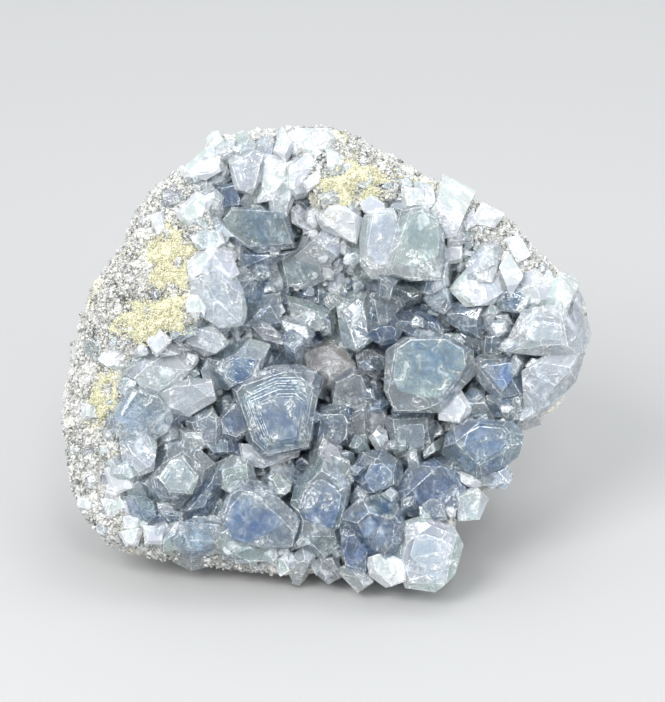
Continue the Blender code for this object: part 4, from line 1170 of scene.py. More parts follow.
    def fill(self, crystals: Sequence[Crystal], slots: Sequence[int], spacing: float = 1.4) -> int:
        """Fill the room between the large crystals of the hollow with smaller ones.

        Formula: scattered places are taken in a random order where they are clear of the ones before,
        each with a half width that grows with its room. They lean to the hollow's centre.

        Args:
            crystals: The crystals that are there already.
            slots: The materials to choose from, the deepest first, which the middle of the hollow takes.
            spacing: The spacing of the places that are tried.

        Returns:
            How many were added.
        """
        random = self.random
        side = np.arange(-62.0, 70.0, spacing)
        places = np.stack(np.meshgrid(side, side), axis=-1).reshape(-1, 2)
        places = places + random.uniform(-0.5, 0.5, places.shape) * spacing
        share = self.hollow.share(places[:, 0], places[:, 1])
        room, level = self.free_room(places, crystals)
        keep = (share < 0.99) & (room > -0.6) & (self.dome.margin(places) > 2.5)
        places, share, room, level = places[keep], share[keep], room[keep], level[keep]
        half = np.clip(room * 1.1 + 2.4, 2.2, 7.0) * random.uniform(0.75, 1.2, len(places))
        half = np.minimum(half, np.clip(self.dome.margin(places), 1.5, None))
        order = np.argsort(-half * random.uniform(0.6, 1.0, len(places)))
        taken = spaced_out(places, half, order, 0.46)
        for index in taken:
            face = float(self.dome.level(places[index]))
            floor = min(float(self.hollow.floor(share[index])), face - 1.0) - 0.5
            top = min(level[index] - random.uniform(0.6, 4.5), face + 1.0 + 0.7 * half[index])
            length = max(top - floor, half[index] * 0.9)
            towards = (np.array(self.hollow.centre) - places[index]) / 60.0
            axis = np.array([*(0.45 * towards + random.normal(0.0, 0.3, 2)), 1.0])
            paleness = 0.5 * share[index] + 0.0017 * (places[index, 1] + 60.0) + 0.28 * random.uniform()
            self.small_block(np.array([*places[index], floor]), axis, float(half[index]), length,
                             slots[int(paleness * len(slots))])
        return len(taken)


def spaced_out(places: Array, half: Array, order: Array, closeness: float) -> list[int]:
    """Take places in an order, each only where it is clear of all those before.

    Args:
        places: The places.
        half: The half width of what stands there.
        order: The order to try them in.
        closeness: How near two may be, as a share of their half widths together.

    Returns:
        The places that are taken, by number.
    """
    taken: list[int] = []
    for index in order:
        apart = np.linalg.norm(places[taken] - places[index], axis=1)
        if not taken or not (apart < closeness * (half[taken] + half[index])).any():
            taken.append(int(index))
    return taken


def scattered_blocks(places: Array, axes: Array, half: Array, length: Array, sides: int,
                     rings: Sequence[Pair], random: Random) -> tuple[Array, Faces, int]:
    """Work out many small blocks at once.

    Formula: each block is a few rings of an uneven polygon along its own axis, and its place is its
    foot plus the ring's two sides and the axis, each times its length.

    Args:
        places: The blocks' feet.
        axes: The ways that they point.
        half: Their half widths.
        length: Their lengths.
        sides: How many sides each has.
        rings: Each ring's width and height, as shares.
        random: Where the unevenness comes from.

    Returns:
        The vertices, the faces, and how many side faces a block has.
    """
    count = len(places)
    axes = unit(axes)
    first = unit(np.cross(axes, random.normal(size=(count, 3))))
    second = np.cross(axes, first)
    angle = np.linspace(0.0, FULL_TURN, sides, endpoint=False)
    wobble = half[:, None] * (1.0 + 0.25 * random.uniform(-1.0, 1.0, (count, sides)))
    flat = random.uniform(0.5, 1.0, (count, 1))
    across, beside = wobble * np.cos(angle), wobble * flat * np.sin(angle)
    stack = []
    for width, height in rings:
        slant = 0.35 * across * width if height > 0.9 else 0.0
        rise = (length * height)[:, None] + slant
        stack.append(places[:, None] + across[..., None] * width * first[:, None]
                     + beside[..., None] * width * second[:, None] + rise[..., None] * axes[:, None])
    points = np.stack(stack, axis=1).reshape(-1, 3)
    walls = np.array(grid_faces(len(rings), sides))
    offset = (np.arange(count) * len(rings) * sides)[:, None]
    top = np.arange((len(rings) - 1) * sides, len(rings) * sides) + offset
    bottom = np.arange(sides)[::-1] + offset
    quads = (walls[None] + offset[:, None]).reshape(-1, 4)
    faces = [tuple(face) for part in (quads, top, bottom) for face in part.tolist()]
    return points, faces, len(walls)


def block_values(values: Array, walls: int) -> list:
    """Give each face of scattered blocks its block's value: its side faces first, then its ends."""
    return np.concatenate([np.repeat(values, walls, axis=0), values, values]).tolist()


@dataclass
class DruseScatter:
    """About two thousand small crystals on the druse floor, between and under the large ones.

    Attributes:
        hollow: The hollow that they stand in.
        dome: The rock's outer shape.
        spacing: Their spacing.
        seed: What the unevenness comes from.
        sides: How many sides each has.
        rings: Each ring's width and height, as shares.
        sizes: The sizes that they come in, with how common each is.
        outermost: The share of the hollow's outline that they reach to.
        kept_rim: How far inside the shell's edge they stay.
    """

    hollow: Hollow
    dome: Dome
    spacing: float = 1.9
    seed: int = 8
    sides: int = 6
    rings: tuple[Pair, ...] = ((0.9, -0.5), (1.0, 0.62), (0.45, 1.0))
    sizes: tuple[Pair, ...] = ((0.8, 0.4), (1.3, 0.4), (2.0, 0.2))
    outermost: float = 0.94
    kept_rim: float = 5.0

    def make(self, stance: Stance, materials: Sequence[Material]) -> Piece:
        """Build the scatter on an uneven grid over the floor."""
        random = np.random.default_rng(self.seed)
        side = np.arange(-60.0, 70.0, self.spacing)
        x, up = (part.ravel() for part in np.meshgrid(side, side))
        x = x + random.uniform(-0.5, 0.5, x.size) * self.spacing
        up = up + random.uniform(-0.5, 0.5, x.size) * self.spacing
        spots, share = np.stack([x, up], axis=-1), self.hollow.share(x, up)
        keep = (share < self.outermost) & (self.dome.margin(spots) > self.kept_rim)
        spots, share = spots[keep], share[keep]
        count = len(spots)
        sizes, odds = zip(*self.sizes)
        half = random.uniform(0.7, 1.0, count) * random.choice(sizes, count, p=odds)
        length = half * random.uniform(1.2, 2.4, count)
        axes = np.column_stack([random.normal(0.0, 0.5, (count, 2)), np.ones(count)])
        places = np.column_stack([spots, self.hollow.druse_level(self.dome, share, spots) + 0.3])
        points, faces, walls = scattered_blocks(places, axes, half, length, self.sides, self.rings, random)
        slot = random.integers(0, len(materials), count)
        shade = random.uniform(0.0, 1.0, (2, count))[0]
        values = {"shade": shade, "girth": half, "edge": np.zeros(count),
                  "heart": places + axes * (0.5 * length)[:, None]}
        marks = {name: block_values(value, walls) for name, value in values.items()}
        marks["facet"] = random.uniform(0.0, 1.0, len(faces)).tolist()
        mesh = Mesh()
        mesh.add(points, faces, block_values(slot, walls), **marks)
        return mesh.make("druse_crystals", stance, materials)


@dataclass
class RindGrower:
    """Grows the frosted blocks and sugary grains that stud the rock round the hollow.

    Attributes:
        dome: The rock's outer shape.
        hollow: The hollow, near which the blocks are densest.
        seed: What the unevenness comes from.
        spacing: The spacing of the places that are tried for blocks.
        block_sizes: The half widths that blocks come in, with how common each is.
        far_side: The directions, in degrees, between which blocks reach far from the hollow.
        fades: How fast they thin out there and elsewhere.
        broken_side: The directions of the broken edge that is studded too.
        broken_rim: How far in from that edge they stand.
        broken_odds: The chance of a block there.
        closeness: How near two blocks may be.
        grain_count: How many grains there are.
        grain_sizes: The sizes that grains come in, with how common each is.
        grain_foot: How far over the floor grains begin.
    """

    dome: Dome
    hollow: Hollow
    seed: int = 33
    spacing: float = 1.25
    block_sizes: tuple[Pair, ...] = ((1.1, 0.4), (1.8, 0.3), (2.8, 0.2), (4.0, 0.1))
    far_side: Pair = (-40.0, 120.0)
    fades: Pair = (14.0, 5.0)
    broken_side: Pair = (-80.0, 5.0)
    broken_rim: float = 5.0
    broken_odds: float = 0.8
    closeness: float = 0.7
    grain_count: int = 16000
    grain_sizes: tuple[Pair, ...] = ((0.8, 0.55), (1.3, 0.35), (2.1, 0.1))
    grain_foot: float = 1.5

    def stand(self, places: Array) -> tuple[Array, Array]:
        """Find the rock's surface and the way it faces at places across the face.

        Args:
            places: Places across the face.

        Returns:
            The points on the rock, and their outward directions.
        """
        angle, way, radius = self.dome.polar(places)
        share, step = way / radius, 0.02
        spot = self.dome.surface(angle, share, True, False)
        turned = self.dome.surface(angle + step, share, True, False)
        further = self.dome.surface(angle, share - step, True, False)
        return self.dome.surface(angle, share, True), unit(np.cross(spot - further, turned - spot))

    def blocks(self, grower: CrystalGrower, crystals: Sequence[Crystal], slots: Sequence[int]) -> int:
        """Stud the rock near the hollow with frosted blocks.

        Formula: the chance of a block falls with the exponential of its way from the hollow, slowly
        on the upper right and fast on the left. The broken edge at the lower right is studded too.

        Args:
            grower: What grows them.
            crystals: The crystals that are there already.
            slots: The materials to choose from.

        Returns:
            How many were added.
        """
        random = np.random.default_rng(self.seed)
        side = np.arange(-74.0, 70.0, self.spacing)
        places = np.stack(np.meshgrid(side, side), axis=-1).reshape(-1, 2)
        places = places + random.uniform(-0.6, 0.6, places.shape)
        angle, way, radius = self.dome.polar(places)
        inside, angle = way / radius, np.degrees(angle)
        share = self.hollow.share(places[:, 0], places[:, 1])
        away = np.clip(share - 1.0, 0.0, None) * self.hollow.reach(np.radians(angle))
        fade = np.where((angle > self.far_side[0]) & (angle < self.far_side[1]), *self.fades)
        room, _ = grower.free_room(places, crystals)
        broken = (angle > self.broken_side[0]) & (angle < self.broken_side[1])
        broken &= self.dome.margin(places) < self.broken_rim
        chance = np.where(broken, self.broken_odds, np.exp(-away / fade))
        keep = ((share > 0.98) | broken) & (inside < 0.985) & (room > -0.3)
        places = places[keep & (random.uniform(size=len(places)) < chance)]
        sizes, odds = zip(*self.block_sizes)
        half = random.uniform(0.9, 1.0, len(places)) * random.choice(sizes, len(places), p=odds)
        half = np.minimum(half, np.clip(0.7 * self.dome.margin(places), 0.8, None))
        taken = spaced_out(places, half, np.argsort(-half), self.closeness)
        for place, normal, index in zip(*self.stand(places[taken]), taken):
            size = float(half[index])
            axis = normal + random.normal(0.0, 0.35, 3)
            grower.small_block(place - normal * size * 0.9, axis, size, size * random.uniform(0.9, 1.3),
                               int(random.choice(slots)))
        return len(taken)

    def grains(self, stance: Stance, material: Material) -> Piece:
        """Strew the rock with sugary grains, on its face outside the hollow and round its sides."""
        random = np.random.default_rng(self.seed + 1)
        angle = random.uniform(0.0, FULL_TURN, 3 * self.grain_count)
        front = random.uniform(size=angle.size) < 0.7
        share = np.where(front, np.sqrt(random.uniform(0.2, 1.0, angle.size)),
                         random.uniform(0.75, 1.0, angle.size))
        points = np.where(front[:, None], self.dome.surface(angle, share, True),
                          self.dome.surface(angle, share, False))
        clear = ~front | (self.hollow.share(points[:, 0], points[:, 1]) > 1.01)
        level = points[:, 2] * math.sin(stance.lean) + points[:, 1] * math.cos(stance.lean)
        points = points[clear & (level > self.grain_foot - self.dome.base_drop)][:self.grain_count]
        count = len(points)
        sizes, odds = zip(*self.grain_sizes)
        half = random.uniform(0.16, 0.3, count) * random.choice(sizes, count, p=odds)
        axes = random.normal(size=(count, 3))
        corners, faces, walls = scattered_blocks(points - unit(axes) * 1.1 * half[:, None], axes, half,
                                                 half * 1.7, 4, ((1.0, 0.0), (0.9, 1.0)), random)
        mesh = Mesh()
        mesh.add(corners, faces, 0, shade=block_values(random.uniform(0.0, 1.0, count), walls))
        return mesh.make("rind_grains", stance, [material])


@dataclass
class MarlCrust:
    """A crumbly patch of yellow marl on the rock: a lumpy pad with grains heaped on it.

    Attributes:
        name: The CAD patch that it stands for.
        centre: Its middle on the face.
        half: Its half width and half height.
        thickness: How proud it stands.
        grains: How many grains lie on it.
        columns: How many points go round it.
        rings: How many rings its top has.
        waves: Its outline's waves: how many go round, and their height.
    """

    name: str
    centre: Pair
    half: Pair
    thickness: float = 1.3
    grains: int = 4000
    columns: int = 96
    rings: int = 22
    waves: tuple[Pair, ...] = ((2.0, 0.2), (5.0, 0.16), (9.0, 0.1))

    def make(self, stance: Stance, rind: RindGrower, material: Material) -> Piece:
        """Build the patch.

        Formula: the pad's outline is an ellipse with a wavy edge, and its top stands over the rock by
        the thickness times one less the fourth power of the share, plus grainy facets.

        Args:
            stance: How the specimen stands.
            rind: What finds the rock's surface.
            material: Its finish.

        Returns:
            The piece.
        """
        angle, share = polar_grid(self.columns, np.linspace(0.02, 1.0, self.rings))
        flat = self.spread(angle, share)
        ground, normal = (part.reshape(*share.shape, 3) for part in rind.stand(flat.reshape(-1, 2)))
        rough = 0.35 * faceted_noise(ground, 1.1, 5) + 0.3 * smooth_noise(ground, 3.0, 6)
        height = self.thickness * (1.0 - share ** 4) * 0.7 * self.patchy(flat) + rough * (1.0 - share ** 6)
        points, faces = closed_skin(np.concatenate([ground + normal * height[..., None],
                                                    (ground - normal * 1.2)[::-1]]))
        mesh = Mesh()
        mesh.add(points, faces, 0, shade=[0.5] * len(faces))
        random = np.random.default_rng(self.grains + int(abs(self.centre[0]) * 2))
        spot = np.sqrt(random.uniform(0.0, 1.0, self.grains))
        spot = spot * random.choice([1.05, 1.4], self.grains, p=[0.85, 0.15])
        flat = self.spread(random.uniform(0.0, FULL_TURN, self.grains), spot)
        place, out = rind.stand(flat)
        lift = self.thickness * 0.7 * (1.0 - np.clip(spot, 0.0, 1.0) ** 4) * self.patchy(flat)
        lift = lift + random.uniform(-0.4, 0.3, self.grains)
        size = random.uniform(0.12, 0.26, self.grains)
        axes = random.normal(size=(self.grains, 3))
        points, faces, walls = scattered_blocks(place + out * lift[:, None], axes, size, size * 1.7, 4,
                                                ((1.0, 0.0), (0.8, 1.0)), random)
        mesh.add(points, faces, 0, shade=block_values(random.uniform(0.0, 1.0, self.grains), walls))
        return mesh.make(self.name + "_crust", stance, [material])

    def patchy(self, flat: Array) -> Array:
        """Thin the marl here and there, down into the rock: smooth noise stretched and held at its ends."""
        level = np.concatenate([flat, np.zeros((*flat.shape[:-1], 1))], axis=-1)
        return np.clip(1.0 + 2.6 * smooth_noise(level, 3.4, 17), -0.6, 1.3)

    def spread(self, angle: Array, share: Array) -> Array:
        """Place points over the patch's wavy ellipse."""
        wave = 0.9
        for (count, height), phase in zip(self.waves, (self.centre[0], self.centre[1], self.centre[0])):
            wave = wave + height * np.sin(count * angle + phase)
        return np.stack([self.centre[0] + self.half[0] * share * wave * np.cos(angle),
                         self.centre[1] + self.half[1] * share * wave * np.sin(angle)], axis=-1)


class ShaderGraph:
    """A material's node graph, built up piece by piece and ending in one Principled shader."""

    def __init__(self, name: str) -> None:
        """Start a material with its shader and object coordinates."""
        self.material = bpy.data.materials.new(name)
        self.material.use_nodes = True
        tree = self.material.node_tree
        self.nodes, self.links = tree.nodes, tree.links
        self.shader = self.nodes["Principled BSDF"]
        self.place = self.nodes.new("ShaderNodeTexCoord").outputs["Object"]

    def put(self, socket: Socket, value: object) -> None:
        """Set a socket to a number or colour, or wire another socket to it."""
        if isinstance(value, Socket):
            self.links.new(value, socket)
        elif socket.type == "RGBA":
            socket.default_value = (*value, 1.0)
        else:
            socket.default_value = value

    def fill(self, node: bpy.types.Node, **values: object) -> bpy.types.Node:
        """Set a node's inputs by name, with underscores for spaces."""
        for name, value in values.items():
            self.put(node.inputs[name.replace("_", " ")], value)
        return node

    def node(self, kind: str, **values: object) -> bpy.types.Node:
        """Add a node of a kind with its inputs set."""
        return self.fill(self.nodes.new("ShaderNode" + kind), **values)

    def dress(self, **values: object) -> Material:
        """Set the shader's own inputs and hand over the material."""
        self.fill(self.shader, **values)
        return self.material

    def noise(self, size_mm: float, detail: float = 3.0, rough: float = 0.55, twist: float = 0.0) -> Socket:
        """Give noise from 0 to 1 whose features are of a size."""
        node = self.node("TexNoise", Vector=self.place, Scale=1.0 / (size_mm * MM), Detail=detail,
                         Roughness=rough, Distortion=twist)
        return node.outputs["Fac"]

    def cells(self, size_mm: float) -> bpy.types.Node:
        """Share space out to the nearest of scattered seeds of a spacing."""
        return self.node("TexVoronoi", Vector=self.place, Scale=1.0 / (size_mm * MM))

    def spread(self, source: Socket, low: float, high: float, to_low: float = 0.0,
               to_high: float = 1.0) -> Socket:
        """Stretch a range of a value onto another range, held at its ends."""
        node = self.node("MapRange", Value=source, From_Min=low, From_Max=high, To_Min=to_low, To_Max=to_high)
        return node.outputs["Result"]

    def mix(self, share: object, first: object, second: object, how: str = "MIX") -> Socket:
        """Blend two colours by a share."""
        node = self.nodes.new("ShaderNodeMix")
        node.data_type, node.blend_type = "RGBA", how
        factor, first_colour, second_colour, result = 0, 6, 7, 2
        self.put(node.inputs[factor], share)
        self.put(node.inputs[first_colour], first)
        self.put(node.inputs[second_colour], second)
        return node.outputs[result]

    def work(self, how: str, first: object, second: object = 0.0, kind: str = "Math",
             output: int = 0) -> Socket:
        """Work out a sum, product or other operation of two values, or of two vectors with VectorMath."""
        node = self.node(kind)
        node.operation = how
        self.put(node.inputs[0], first)
        self.put(node.inputs[1], second)
        return node.outputs[output]

    def times(self, first: object, second: object) -> Socket:
        """Multiply two values."""
        return self.work("MULTIPLY", first, second)

    def most(self, first: Socket, *others: Socket) -> Socket:
        """Give the highest of some values."""
        for other in others:
            first = self.work("MAXIMUM", first, other)
        return first

    def mark(self, name: str, output: str = "Fac") -> Socket:
        """Read a value that the mesh holds for each face."""
        node = self.node("Attribute")
        node.attribute_name = name
        return node.outputs[output]

    def way_from_heart(self) -> Socket:
        """Measure the way from a crystal's heart, in shares of its girth."""
        way = self.work("DISTANCE", self.place, self.mark("heart", "Vector"), "VectorMath", 1)
        return self.work("DIVIDE", way, self.mark("girth"))

    def chips(self, size_mm: float) -> Socket:
        """Give the height of broken facets of a size, in shares of it.

        Formula: in each cell, the way from the cell's seed is multiplied with the cell's own random
        direction, and so it rises evenly across the cell.
        """
        cells = self.cells(size_mm)
        from_seed = self.work("SUBTRACT", self.place, cells.outputs["Position"], "VectorMath")
        tilt = self.work("SUBTRACT", cells.outputs["Color"], (0.5, 0.5, 0.5), "VectorMath")
        rise = self.work("DOT_PRODUCT", from_seed, tilt, "VectorMath", 1)
        return self.times(rise, 2.0 / (size_mm * MM))

    def ramp(self, source: Socket, stops: Stops) -> Socket:
        """Turn a value into colours by stops."""
        node = self.node("ValToRGB", Fac=source)
        elements = node.color_ramp.elements
        while len(elements) < len(stops):
            elements.new(1.0)
        for element, (place, colour) in zip(elements, stops):
            element.position = place
            element.color = (*colour, 1.0)
        return node.outputs["Color"]

    def bump(self, height: Socket, depth_mm: float, strength: float, **under: Socket) -> Socket:
        """Raise the surface by a height of a depth, over another bump's Normal where one is given."""
        node = self.node("Bump", Strength=strength, Distance=depth_mm * MM, Height=height, **under)
        return node.outputs["Normal"]


@dataclass(frozen=True)
class CelestiteFinish:
    """A tint of celestite: see-through, glassy on its faces, deeper inside and bright on worn edges.

    Attributes:
        tone: The tint's name.
        rim: Its colour near its faces' rims.
        core: The colour of its core.
        absorbed: The colour that deep crystal turns light to.
        density: How strongly it does, for each metre.
        clearness: How see-through it is.
        cloud: How much of it is cloudy.
        roughness: How rough its faces are.
        refraction: Its index of refraction.
        cloudy: The colour of its cloudy parts.
        frosty: The colour of worn edges, veins and shattered spots; terrace edges on the side facing the
            light take more of it, a painted highlight.
        facet_tints: What a facet's own mark turns its colour to.
    """

    tone: Tone
    rim: Colour
    core: Colour
    absorbed: Colour
    density: float
    clearness: float
    cloud: float
    roughness: float
    refraction: float = 1.62
    cloudy: Colour = (0.90, 0.94, 0.95)
    frosty: Colour = (0.97, 0.98, 0.98)
    facet_tints: Stops = ((0.0, (0.84, 0.97, 0.90)), (0.4, (1.0, 1.0, 1.0)), (0.75, (0.88, 0.89, 1.0)),
                          (1.0, (1.0, 1.0, 1.0)))

    def make(self) -> Material:
        """Build the material."""
        graph = ShaderGraph("celestite_" + self.tone.name.lower())
        edge, facet, shade = graph.mark("edge"), graph.mark("facet"), graph.mark("shade")
        slow = graph.noise(4.2, 2.0, 0.5, 0.8)
        fine = graph.noise(0.8, 2.0, 0.75)
        folds = graph.noise(5.0, 2.0, 0.55, 1.2)
        core = graph.work("ADD", graph.way_from_heart(), graph.spread(slow, 0.3, 0.7, -0.5, 0.5))
        core = graph.spread(core, 0.2, 1.05, 1.0, 0.0)
        cloud = graph.spread(graph.work("ADD", graph.times(folds, 0.75), graph.times(fine, 0.25)),
                             0.56 - 0.1 * self.cloud, 0.72 - 0.1 * self.cloud)
        from_middle = graph.work("ABSOLUTE", graph.spread(folds, 0.2, 0.8, -1.0, 1.0))
        veins = graph.spread(from_middle, 0.0, 0.03, 1.0, 0.0)
        shattered = graph.spread(slow, 0.62 - 0.12 * self.cloud, 0.68 - 0.12 * self.cloud)
        # Worn edges turn frosty white; on growth terraces the edge mark is also a painted highlight, full on
        # the side facing the light.
        frost = graph.most(graph.times(edge, graph.spread(fine, 0.4, 0.62, 0.1, 0.9)),
                           graph.times(veins, graph.spread(slow, 0.4, 0.6, 0.1, 0.9)),
                           graph.times(shattered, graph.spread(fine, 0.52, 0.6, 0.0, 0.75)),
                           graph.spread(graph.cells(1.5).outputs["Distance"], 0.05, 0.09, 0.5, 0.0))
        body = graph.mix(core, self.rim, self.core)
        body = graph.mix(0.8, body, graph.ramp(facet, self.facet_tints), "MULTIPLY")
        body = graph.mix(graph.spread(shade, 0.0, 1.0, 0.0, 0.3), body, self.rim)
        body = graph.mix(graph.times(cloud, 0.5), body, self.cloudy)
        body = graph.mix(frost, body, self.frosty)
        clear = graph.work("SUBTRACT", self.clearness, graph.times(cloud, 0.3))
        clear = graph.times(clear, graph.spread(frost, 0.0, 1.0, 1.0, 0.35))
        satin = graph.times(graph.spread(facet, 0.75, 0.8), 0.1)
        rough = graph.spread(slow, 0.35, 0.7, self.roughness * 0.3, self.roughness * 1.5)
        rough = graph.work("ADD", rough, satin)
        relief = graph.work("ADD", graph.times(slow, 0.5),
                            graph.times(fine, graph.spread(shattered, 0.0, 1.0, 0.1, 1.0)))
        volume = graph.node("VolumeAbsorption", Color=self.absorbed, Density=self.density)
        graph.links.new(volume.outputs["Volume"], graph.nodes["Material Output"].inputs["Volume"])
        return graph.dress(Base_Color=body, Roughness=rough, IOR=self.refraction, Transmission_Weight=clear,
                           Normal=graph.bump(relief, 0.5, 0.8))


CELESTITE = tuple(CelestiteFinish(*values) for values in (
    (CLEAR, (0.84, 0.92, 0.94), (0.42, 0.60, 0.82), (0.58, 0.75, 0.90), 36.0, 0.87, 0.15, 0.05),
    (BLUE, (0.74, 0.84, 0.90), (0.23, 0.40, 0.68), (0.46, 0.64, 0.86), 50.0, 0.87, 0.1, 0.05),
    (DEEP, (0.58, 0.71, 0.86), (0.20, 0.35, 0.65), (0.38, 0.54, 0.82), 60.0, 0.88, 0.1, 0.05),
    (PALE, (0.90, 0.94, 0.95), (0.70, 0.80, 0.88), (0.74, 0.86, 0.93), 24.0, 0.72, 0.4, 0.08),
    (GREEN, (0.84, 0.91, 0.90), (0.57, 0.71, 0.76), (0.62, 0.79, 0.80), 32.0, 0.8, 0.3, 0.07),
    (SLATE, (0.76, 0.83, 0.87), (0.47, 0.58, 0.69), (0.58, 0.71, 0.81), 34.0, 0.84, 0.25, 0.07),
    (SMOKY, (0.78, 0.82, 0.85), (0.58, 0.63, 0.69), (0.68, 0.74, 0.80), 26.0, 0.82, 0.35, 0.09),
    (BEIGE, (0.76, 0.74, 0.70), (0.64, 0.60, 0.56), (0.82, 0.78, 0.73), 20.0, 0.7, 0.5, 0.16),
    (FROSTED, (0.80, 0.82, 0.82), (0.72, 0.77, 0.81), (0.88, 0.92, 0.95), 12.0, 0.5, 0.7, 0.16),
))

# The tints of the scattered crystals: between the large ones from the hollow's middle outwards, on the
# rim, and in the druse.
BETWEEN_TONES = (SLATE, CLEAR, SMOKY, BLUE, GREEN, CLEAR, PALE,
                 PALE, FROSTED, FROSTED)
RIM_TONES = (FROSTED, FROSTED, FROSTED, PALE, PALE, SMOKY)
DRUSE_TONES = (PALE, FROSTED, FROSTED)


@dataclass(frozen=True)
class RockFinish:
    """The sugary white-grey rock, with dark specks and cream staining, or its grains in their shades."""

    pale: Colour = (0.76, 0.75, 0.71)
    grey: Colour = (0.27, 0.275, 0.27)
    cream: Colour = (0.80, 0.76, 0.52)
    grainy: bool = False
    grain_shades: Stops = ((0.0, (0.28, 0.29, 0.29)), (0.2, (0.62, 0.64, 0.64)), (0.5, (0.92, 0.92, 0.92)),
                           (1.0, (1.04, 1.04, 1.02)))

    def make(self) -> Material:
        """Build the material."""
        graph = ShaderGraph("rind_grains" if self.grainy else "geode_rock")
        specks = graph.spread(graph.noise(0.7, 3.0, 0.7), 0.38, 0.5, 1.0, 0.0)
        patches = graph.spread(graph.noise(7.0, 2.0, 0.6), 0.45, 0.65)
        pinholes = graph.spread(graph.noise(0.38, 2.0, 0.6), 0.4, 0.5, 1.0, 0.0)
        stain = graph.spread(graph.noise(11.0, 2.0, 0.65), 0.56, 0.68)
        body = graph.mix(specks, self.pale, self.grey)
        spots = ((patches, 0.22, self.grey), (pinholes, 0.55, self.grey), (stain, 0.6, self.cream))
        for share, strength, colour in spots:
            body = graph.mix(graph.times(share, strength), body, colour)
        if self.grainy:
            body = graph.mix(1.0, body, graph.ramp(graph.mark("shade"), self.grain_shades), "MULTIPLY")
        facets = graph.bump(graph.chips(0.9), 0.4, 0.9)
        return graph.dress(Base_Color=body, Roughness=graph.spread(specks, 0.0, 1.0, 0.5, 0.7), IOR=1.55,
                           Normal=graph.bump(graph.noise(0.35, 1.0), 0.15, 0.8, Normal=facets))


@dataclass(frozen=True)
class MarlFinish:
    """The crumbly pale yellow marl, whose crumbs have their shades."""

    pale: Colour = (0.66, 0.645, 0.475)
    deep: Colour = (0.64, 0.61, 0.42)
    grain_shades: Stops = ((0.0, (0.62, 0.60, 0.52)), (0.35, (0.95, 0.95, 0.92)), (0.75, (1.0, 1.0, 1.0)),
                           (1.0, (1.1, 1.12, 1.3)))

    def make(self) -> Material:
        """Build the material."""
        graph = ShaderGraph("marl")
        patches = graph.spread(graph.noise(2.6, 4.0, 0.65), 0.4, 0.65)
        specks = graph.spread(graph.noise(0.5, 3.0, 0.7), 0.36, 0.48, 1.0, 0.0)
        body = graph.mix(graph.times(patches, 0.35), self.pale, self.deep)
        body = graph.mix(graph.times(specks, 0.5), body, self.deep)
        body = graph.mix(1.0, body, graph.ramp(graph.mark("shade"), self.grain_shades), "MULTIPLY")
        return graph.dress(Base_Color=body, Roughness=0.9, IOR=1.45,
                           Normal=graph.bump(graph.noise(0.4), 0.2, 0.9))


@dataclass(frozen=True)
class FloorFinish:
    """A plain pale studio floor."""

    colour: Colour = (0.41, 0.41, 0.405)

    def make(self) -> Material:
        """Build the material."""
        return ShaderGraph("studio_floor").dress(Base_Color=self.colour, Roughness=0.85)


@dataclass
class Studio:
    """The floor, the soft lights and the camera at the photograph's angle.

    Each lamp is its name, place and width in metres, and watts. The surroundings glow by the direction's
    height: from the first glow to the second between the horizon's two heights.
    """

    stance: Stance
    photo_size: Pair = (665.0, 702.0)
    face_centre_px: Pair = (329.0, 360.0)
    px_per_mm: float = 4.077
    distance: float = 0.7
    floor_reach: float = 3.0
    aim: Colour = (0.0, 0.0, 0.05)
    lamps: tuple[tuple[str, Colour, float, float], ...] = (
        ("key", (-0.5, -0.6, 0.8), 0.5, 9.5),
        ("glint", (0.15, -0.8, 0.95), 0.18, 2.3),
        ("fill", (0.8, -0.8, 0.45), 0.7, 5.0),
        ("top", (0.2, 0.3, 0.9), 0.5, 2.2),
    )
    horizon: Pair = (-0.2, 0.9)
    glow: Pair = (0.68, 1.25)

    def floor(self, material: Material) -> None:
        """Lay the floor."""
        reach = self.floor_reach
        corners = [(-reach, -reach, 0.0), (reach, -reach, 0.0), (reach, reach, 0.0), (-reach, reach, 0.0)]
        mesh = bpy.data.meshes.new("floor")
        mesh.from_pydata(corners, [], [(0, 1, 2, 3)])
        mesh.materials.append(material)
        put_in("floor", mesh)

    def camera(self) -> None:
        """Set the camera square to the crystal face, framed as the photograph is."""
        width, height = self.photo_size
        middle = np.array([(width / 2 - self.face_centre_px[0]) / self.px_per_mm,
                           (self.face_centre_px[1] - height / 2) / self.px_per_mm, 0.0])
        data = bpy.data.cameras.new("camera")
        data.lens = data.sensor_width * self.distance / (height / self.px_per_mm * MM)
        data.clip_start = 0.01
        camera = put_in("camera", data)
        camera.location = Vector(self.stance.place(middle)) + self.stance.outward() * self.distance
        camera.rotation_euler = (-self.stance.outward()).to_track_quat("-Z", "Y").to_euler()
        bpy.context.scene.camera = camera

    def lights(self) -> None:
        """Light the scene softly, mostly from above and the left."""
        for name, place, size, watts in self.lamps:
            data = bpy.data.lights.new(name, "AREA")
            data.size, data.energy = size, watts
            light = put_in(name, data)
            light.location = place
            light.rotation_euler = (Vector(self.aim) - light.location).to_track_quat("-Z", "Y").to_euler()
        world = bpy.data.worlds.new("studio")
        world.use_nodes = True
        tree = world.node_tree
        where = tree.nodes.new("ShaderNodeTexCoord")
        height = tree.nodes.new("ShaderNodeSeparateXYZ")
        brightness = tree.nodes.new("ShaderNodeMapRange")
        for name, value in zip(("From Min", "From Max", "To Min", "To Max"), (*self.horizon, *self.glow)):
            brightness.inputs[name].default_value = value
        tree.links.new(where.outputs["Generated"], height.inputs["Vector"])
        tree.links.new(height.outputs["Z"], brightness.inputs["Value"])
        tree.links.new(brightness.outputs["Result"], tree.nodes["Background"].inputs["Strength"])
        tree.nodes["Background"].inputs["Color"].default_value = (0.92, 0.95, 1.0, 1.0)
        bpy.context.scene.world = world
        bpy.context.scene.view_settings.view_transform = "Standard"


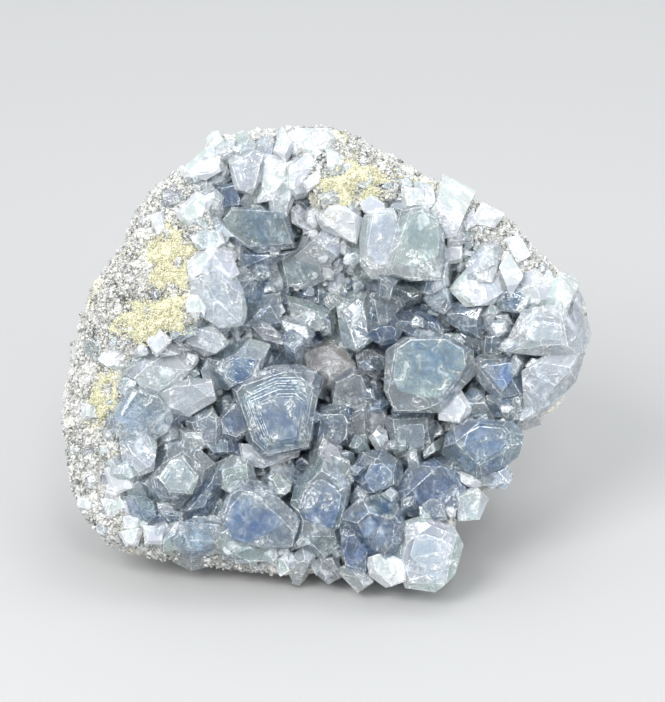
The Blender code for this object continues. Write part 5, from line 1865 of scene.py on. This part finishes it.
MARL = (
    MarlCrust("marl_upper_left", (-39.5, 25.0), (7.0, 7.0)),
    MarlCrust("marl_left", (-43.5, 10.0), (8.5, 5.5)),
    MarlCrust("marl_top", (5.5, 43.0), (9.5, 5.0)),
    MarlCrust("marl_lower_left", (-55.5, -8.5), (3.0, 6.0)),
)


def dress_piece(piece: Piece, node: str) -> None:
    """Attach a piece to the root body, hide the CAD part of the node that it stands for, and report its face
    count.
    """
    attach(piece, "root")
    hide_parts(node)
    LOG.info("%s: %d faces", piece.name, len(piece.data.polygons))


def main() -> None:
    """Build and dress the specimen, light it and set the camera."""
    logging.basicConfig(level=logging.INFO, format="%(name)s: %(message)s")
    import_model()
    stance, dome, hollow = Stance(), Dome(), Hollow()
    rock = RockFinish().make()
    tints = {finish.tone: finish.make() for finish in CELESTITE}
    materials = list(tints.values())
    slot_of = {tone: index for index, tone in enumerate(tints)}

    dress_piece(RockShell(dome, hollow).make(stance, rock), "matrix")
    dress_piece(DruseFloor(hollow, dome).make(stance, tints[FROSTED]), "celestite_crystals")
    grower = CrystalGrower(hollow, dome, flake_slot=slot_of[FROSTED])
    for crystal in HOLLOW_CRYSTALS:
        grower.grow(crystal, slot_of[crystal.tone])
    dress_piece(grower.mesh.make("celestite_blocks", stance, materials), "celestite_crystals")
    between = CrystalGrower(hollow, dome, seed=22)
    count = between.fill(HOLLOW_CRYSTALS, [slot_of[tone] for tone in BETWEEN_TONES])
    dress_piece(between.mesh.make("celestite_between", stance, materials), "celestite_crystals")
    LOG.info("%d crystals between the large ones", count)
    on_rim = CrystalGrower(hollow, dome, seed=23)
    for crystal in RIM_CRYSTALS:
        on_rim.grow(crystal, slot_of[crystal.tone], crystal.out - RIM_ROOT)
    rind = RindGrower(dome, hollow)
    count = rind.blocks(on_rim, HOLLOW_CRYSTALS + RIM_CRYSTALS, [slot_of[tone] for tone in RIM_TONES])
    dress_piece(on_rim.mesh.make("rim_blocks", stance, materials), "matrix")
    LOG.info("%d blocks on the rind", count)
    dress_piece(rind.grains(stance, RockFinish(grainy=True).make()), "matrix")
    small = [tints[tone] for tone in DRUSE_TONES]
    dress_piece(DruseScatter(hollow, dome).make(stance, small), "celestite_crystals")
    marl = MarlFinish().make()
    for patch in MARL:
        dress_piece(patch.make(stance, rind, marl), patch.name)

    studio = Studio(stance)
    studio.floor(FloorFinish().make())
    studio.camera()
    studio.lights()


if __name__ == "__main__":
    main()
